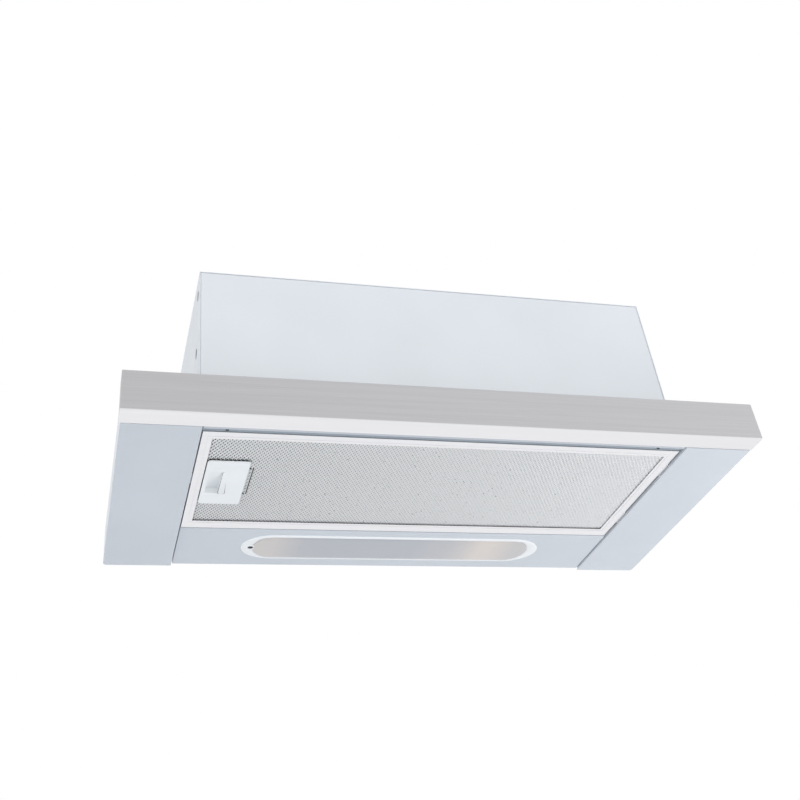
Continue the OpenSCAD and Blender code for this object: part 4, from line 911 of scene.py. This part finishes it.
class HOOD_OT_drawer_filter(bpy.types.Operator):
    """Lay the fine nets into the filter that slides out with the drawer"""
    bl_idname = "hood.drawer_filter"
    bl_label = "Drawer filter"
    bl_options = {"REGISTER", "UNDO"}

    def execute(self, context):
        nets = context.scene.hood_nets
        node = "drawer_filter_net"
        low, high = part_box(node)
        body, slot = NODE_BODY[node], NODE_SLOT[node]
        lap = Vector((NET_LAP, NET_LAP, 0))
        for name, z, pitch, strand, replaced in (
                ("drawer_face_net", low.z + DRAWER_INSET, (nets.pitch_x, nets.pitch_y),
                 nets.strand, (node,)),
                ("drawer_top_net", high.z - DRAWER_INSET, DRAWER_TOP_PITCH,
                 DRAWER_TOP_STRAND, ())):
            net = diamond_net(Vector((low.x, low.y, z)) + lap, Vector((high.x, high.y, z)) - lap,
                              pitch, strand, nets.tilt * DRAWER_TILT, NET_THICK)
            add_piece(name, net, finish("mesh"), body, replaced, 60)
        # the packing between the nets, in packed_net, is painted dark as shade
        bm = bmesh.new()
        block(bm, (low.x, low.y, low.z + DRAWER_PACK_UNDER),
              (high.x, high.y, high.z - DRAWER_PACK_OVER))
        add_piece("drawer_pack", bm, finish("packed_net"), body)
        return {"FINISHED"}


class HOOD_OT_filter_handle(bpy.types.Operator):
    """Mould the filter's sliding handle with its finger pocket and grip"""
    bl_idname = "hood.filter_handle"
    bl_label = "Filter handle"
    bl_options = {"REGISTER", "UNDO"}

    def execute(self, context):
        low, high = handle_plate()
        under = low.z + GRIP_RISE
        top = under + PLATE_THICK
        bm = bmesh.new()
        rounded_plate(bm, (low.x, low.y, under), (high.x, high.y, top), PLATE_CORNER)

        pocket_low = Vector((low.x + POCKET_LEFT, low.y + POCKET_FRONT, under))
        pocket_high = pocket_low + Vector((POCKET_WIDTH, POCKET_LONG, 0))
        wall = Vector((SHELL_WALL, SHELL_WALL, 0))
        slope_end = pocket_low.y + POCKET_SLOPE * POCKET_LONG
        cut_lines(bm, 0, (pocket_low.x - wall.x, pocket_low.x, pocket_high.x,
                          pocket_high.x + wall.x))
        cut_lines(bm, 1, (pocket_low.y - wall.y, pocket_low.y, slope_end, pocket_high.y,
                          pocket_high.y + wall.y))
        bm.normal_update()
        push_out(bm, faces_in(bm, pocket_low - wall, pocket_high + wall, top), high.z - top)
        floor = push_out(bm, faces_in(bm, pocket_low, pocket_high, under), POCKET_DEEP)
        for vert in floor:
            if vert.co.y < pocket_low.y + 1e-4:
                vert.co.z = under + POCKET_LIP
            elif vert.co.y > pocket_high.y - 1e-4:
                vert.co.y += POCKET_LEAN
        bmesh.ops.recalc_face_normals(bm, faces=bm.faces)

        # grip beside the pocket, narrow at its front and full and round at its rear
        grip_low = Vector((pocket_high.x, pocket_low.y, low.z + 0.0001))
        grip_high = Vector((pocket_high.x + GRIP_WIDTH, pocket_high.y, top - HANDLE_OVERLAP))
        before = set(bm.verts)
        grip_shape(bm, grip_low, grip_high)
        grip = [v for v in bm.verts if v not in before]
        taper(grip, grip_low, grip_high, GRIP_NARROW)
        for vert in grip:
            if vert.co.z < under:
                share = (vert.co.y - grip_low.y) / (grip_high.y - grip_low.y)
                depth = GRIP_SHALLOW + (1 - GRIP_SHALLOW) * share
                vert.co.z = under + (vert.co.z - under) * depth

        # painted shadow of a slit round the rear of the grip: a thin dark capsule in slit_shadow
        before = set(bm.verts)
        rounded_plate(bm, (grip_low.x - SLIT_BESIDE * SLIT, grip_low.y, under - SLIT_SINK),
                      (grip_high.x + SLIT, grip_high.y + SLIT, under + SLIT_DEEP),
                      GRIP_WIDTH / 2, 10)
        taper([v for v in bm.verts if v not in before], grip_low, grip_high, SLIT_NARROW)
        for face in bm.faces:
            if all(v not in before for v in face.verts):
                face.material_index = 1

        # tongue that snaps into the wing
        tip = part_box("latch_handle")[0].x
        root = pocket_low.x - wall.x + HANDLE_OVERLAP
        mid_y = (pocket_low.y + pocket_high.y) / 2
        block(bm, (tip, mid_y - TONGUE_HALF, under + TONGUE_LOW),
              (root, mid_y + TONGUE_HALF, under + TONGUE_HIGH))
        piece = add_piece("filter_handle", bm, finish("white_plastic"), "latch",
                          ("latch_handle",))
        piece.data.materials.append(finish("slit_shadow"))
        round_off(piece, HANDLE_ROUND)
        return {"FINISHED"}


class HOOD_OT_latch_spring(bpy.types.Operator):
    """Wind the spring that pushes the filter's handle out"""
    bl_idname = "hood.latch_spring"
    bl_label = "Latch spring"
    bl_options = {"REGISTER", "UNDO"}

    def execute(self, context):
        node = "latch_spring"
        low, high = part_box(node)
        middle = (low + high) / 2
        wire = SPRING_WIRE / 2
        reach = (high.y - low.y) / 2 - wire
        start = Vector((low.x + wire, middle.y, middle.z + reach))
        steps = SPRING_TURNS * SPRING_STEPS
        along = (high.x - low.x - 2 * wire) / steps
        bm = bmesh.new()
        ring = bmesh.ops.create_circle(bm, cap_ends=True, segments=8, radius=wire)["verts"]
        bmesh.ops.translate(bm, verts=ring, vec=start)
        bmesh.ops.rotate(bm, verts=ring, matrix=Matrix.Rotation(pi / 2, 3, "X"), cent=start)
        bmesh.ops.spin(bm, geom=bm.faces[:], cent=middle, axis=(1, 0, 0),
                       dvec=(along, 0, 0), angle=2 * pi * SPRING_TURNS, steps=steps)
        bmesh.ops.recalc_face_normals(bm, faces=bm.faces)
        slot = NODE_SLOT[node]
        spring = add_piece("latch_spring_wound", bm, finish(slot), NODE_BODY[node], (node,))
        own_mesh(spring)
        return {"FINISHED"}


class HOOD_OT_lamp_cover(bpy.types.Operator):
    """Mould the lamp cover with its rim, groove, domed lens and screw boss"""
    bl_idname = "hood.lamp_cover"
    bl_label = "Lamp cover"
    bl_options = {"REGISTER", "UNDO"}

    def execute(self, context):
        node = "lamp_cover"
        body, slot = NODE_BODY[node], NODE_SLOT[node]
        low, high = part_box(node)
        middle = (low + high) / 2
        nose, wide = COVER_NOSE, (high.y - low.y) / 2
        lens_nose, lens_wide = LENS_NOSE, wide - COVER_RIM
        half = (high.x - low.x) / 2 - nose

        # a rolled rim, a hollow, and the groove round the lens: nose, width and drop of each ring
        rings = ((nose, wide, 0.0004), (nose - 0.0005, wide - 0.0004, 0.0005),
                 (nose - 0.0018, wide - 0.0014, 0.0003), (nose - 0.0034, wide - 0.0024, -0.0001),
                 (lens_nose + 0.0022, lens_wide + 0.0006, 0.0),
                 (lens_nose + 0.0006, lens_wide + 0.0003, -0.0006))
        rim = self.ringed(middle, half, nose, wide, high.z, rings)
        add_piece("lamp_cover_rim", rim, finish("cover_rim"), body, (node,), 50)

        # the lens: its distance in from the edge and the drop of each ring
        steps = ((0, 0.0006), (0.0005, 0.0004), (0.0016, 0.0002), (0.0050, 0.0001),
                 (0.0120, 0.00005))
        rings = [(lens_nose - inward, lens_wide - inward, drop) for inward, drop in steps]
        lens = self.ringed(middle, half, lens_nose, lens_wide, low.z + LENS_TOP, rings)
        add_piece("lamp_cover_lens", lens, finish(slot), body, (), 50)

        # the boss round the screw: radius and height from its upper outer edge inwards
        screw_low, screw_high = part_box("lamp_cover_screw")
        top = high.z - BOSS_DEPTH
        bm = bmesh.new()
        turned(bm, (screw_low + screw_high) / 2, (
            (0.0050, top), (0.0050, low.z + 0.0002), (0.0046, low.z - 0.0001),
            (0.0038, low.z - 0.0002), (0.0030, low.z), (0.0019, low.z + 0.0003),
            (0.0017, low.z + 0.0005), (0.0017, top), (0.0050, top)))
        bmesh.ops.remove_doubles(bm, verts=bm.verts, dist=1e-7)
        bmesh.ops.recalc_face_normals(bm, faces=bm.faces)
        add_piece("lamp_cover_boss", bm, finish("cover_rim"), body, (), 50)
        return {"FINISHED"}

    def ringed(self, middle, half, nose, wide, z, rings):
        """A closed shape with a long outline, stepped inwards ring by ring"""
        bm = bmesh.new()
        face = long_outline(bm, middle, half, nose, wide, z)
        for next_nose, next_wide, drop in rings:
            step_in(bm, face, middle, half, (next_nose / nose, next_wide / wide), drop)
            nose, wide = next_nose, next_wide
        close_up(bm)
        return bm


class HOOD_OT_stage(bpy.types.Operator):
    """Set the floor, the light and the camera"""
    bl_idname = "hood.stage"
    bl_label = "Stage"
    bl_options = {"REGISTER", "UNDO"}

    def execute(self, context):
        scene = context.scene
        studio = scene.hood_studio
        self.light_world(scene, studio)
        self.lay_floor(studio)
        for lamp in LAMPS:
            self.add_lamp(*lamp)
        self.set_camera(scene, studio)
        scene.view_settings.view_transform = "Standard"
        return {"FINISHED"}

    def light_world(self, scene, studio):
        """Even light all round, and plain white behind the hood and in its reflections"""
        world = bpy.data.worlds.new("studio_light")
        scene.world = world
        world.use_nodes = True
        world.node_tree.nodes.clear()
        seen = light_paths(world, "Is Camera Ray", "Is Glossy Ray", "Is Transmission Ray")
        light = add_node(world, "ShaderNodeBackground", None, {
            "Color": (0.965, 0.985, 1.0, 1), "Strength": studio.fill}).outputs[0]
        white = add_node(world, "ShaderNodeBackground", None, {
            "Color": (1, 1, 1, 1), "Strength": 1.0}).outputs[0]
        both = add_node(world, "ShaderNodeMixShader", None,
                        {0: seen, 1: light, 2: white}).outputs[0]
        add_node(world, "ShaderNodeOutputWorld", None, {"Surface": both})

    def lay_floor(self, studio):
        """A plain pale floor that metal and glass see as white"""
        bm = bmesh.new()
        bmesh.ops.create_grid(bm, x_segments=1, y_segments=1, size=FLOOR_SIZE)
        bmesh.ops.translate(bm, verts=bm.verts, vec=(0, 0, studio.floor_z))
        mesh = bpy.data.meshes.new("floor")
        bm.to_mesh(mesh)
        bm.free()
        floor = bpy.data.objects.new("floor", mesh)
        bpy.context.scene.collection.objects.link(floor)
        mat, shader = start_material("floor_paint", (0.66, 0.69, 0.73), 0.0, 0.8)
        colour_between(mat, shader, noise(mat, 2.0), (0.65, 0.68, 0.72), (0.67, 0.70, 0.74))
        mirrored = light_paths(mat, "Is Glossy Ray", "Is Transmission Ray")
        white = add_node(mat, "ShaderNodeEmission", None,
                         {"Color": (1, 1, 1, 1), "Strength": 1.0}).outputs[0]
        both = add_node(mat, "ShaderNodeMixShader", None,
                        {0: mirrored, 1: shader.outputs[0], 2: white}).outputs[0]
        mat.node_tree.links.new(both, mat.node_tree.nodes["Material Output"].inputs["Surface"])
        mesh.materials.append(mat)

    def add_lamp(self, name, place, target, size, energy, colour):
        """A square lamp that shines at a target and isn't seen itself"""
        data = bpy.data.lights.new(name, "AREA")
        data.shape = "SQUARE"
        data.size = size
        data.energy = energy
        data.color = colour
        lamp = bpy.data.objects.new(name, data)
        bpy.context.scene.collection.objects.link(lamp)
        lamp.location = place
        lamp.rotation_euler = (target - Vector(place)).to_track_quat("-Z", "Y").to_euler()
        lamp.visible_camera = False
        lamp.visible_glossy = False

    def set_camera(self, scene, studio):
        """A camera below the hood at its front left"""
        data = bpy.data.cameras.new("camera")
        data.sensor_width = 36
        data.lens = studio.lens
        data.shift_x, data.shift_y = CAMERA_SHIFT
        data.clip_start = 0.05
        camera = bpy.data.objects.new("camera", data)
        scene.collection.objects.link(camera)
        a, t = studio.azimuth, studio.tilt
        look = Vector((sin(a) * cos(t), cos(a) * cos(t), sin(t)))
        right = look.cross(Vector((0, 0, 1))).normalized()
        up = right.cross(look)
        level = Matrix((right, up, -look)).transposed()
        rolled = Matrix.Rotation(studio.roll, 3, look) @ level
        camera.matrix_world = Matrix.Translation(studio.place) @ rolled.to_4x4()
        scene.camera = camera


class HOOD_PT_panel(bpy.types.Panel):
    """Steps and values of the hood's finish"""
    bl_idname = "HOOD_PT_panel"
    bl_label = "Cooker hood"
    bl_space_type = "VIEW_3D"
    bl_region_type = "UI"
    bl_category = "Hood"

    def draw(self, context):
        column = self.layout.column()
        for step in STEPS:
            column.operator(step.bl_idname)
        for group in ("hood_colours", "hood_nets", "hood_studio"):
            values = getattr(context.scene, group)
            box = self.layout.box()
            for name in values.__annotations__:
                box.prop(values, name)


GROUPS = (HoodColours, HoodNets, HoodStudio)
STEPS = (HOOD_OT_finishes, HOOD_OT_sheet_edges, HOOD_OT_grease_filter, HOOD_OT_drawer_filter,
         HOOD_OT_filter_handle, HOOD_OT_latch_spring, HOOD_OT_lamp_cover, HOOD_OT_stage)


def register():
    for made in (*GROUPS, *STEPS, HOOD_PT_panel):
        bpy.utils.register_class(made)
    bpy.types.Scene.hood_colours = PointerProperty(type=HoodColours)
    bpy.types.Scene.hood_nets = PointerProperty(type=HoodNets)
    bpy.types.Scene.hood_studio = PointerProperty(type=HoodStudio)


def unregister():
    del bpy.types.Scene.hood_studio
    del bpy.types.Scene.hood_nets
    del bpy.types.Scene.hood_colours
    for made in reversed((*GROUPS, *STEPS, HOOD_PT_panel)):
        bpy.utils.unregister_class(made)


def main():
    """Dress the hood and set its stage"""
    register()
    bpy.ops.hood.finishes()
    bpy.ops.hood.sheet_edges()
    bpy.ops.hood.grease_filter()
    bpy.ops.hood.drawer_filter()
    bpy.ops.hood.filter_handle()
    bpy.ops.hood.latch_spring()
    bpy.ops.hood.lamp_cover()
    bpy.ops.hood.stage()


if __name__ == "__main__":
    main()
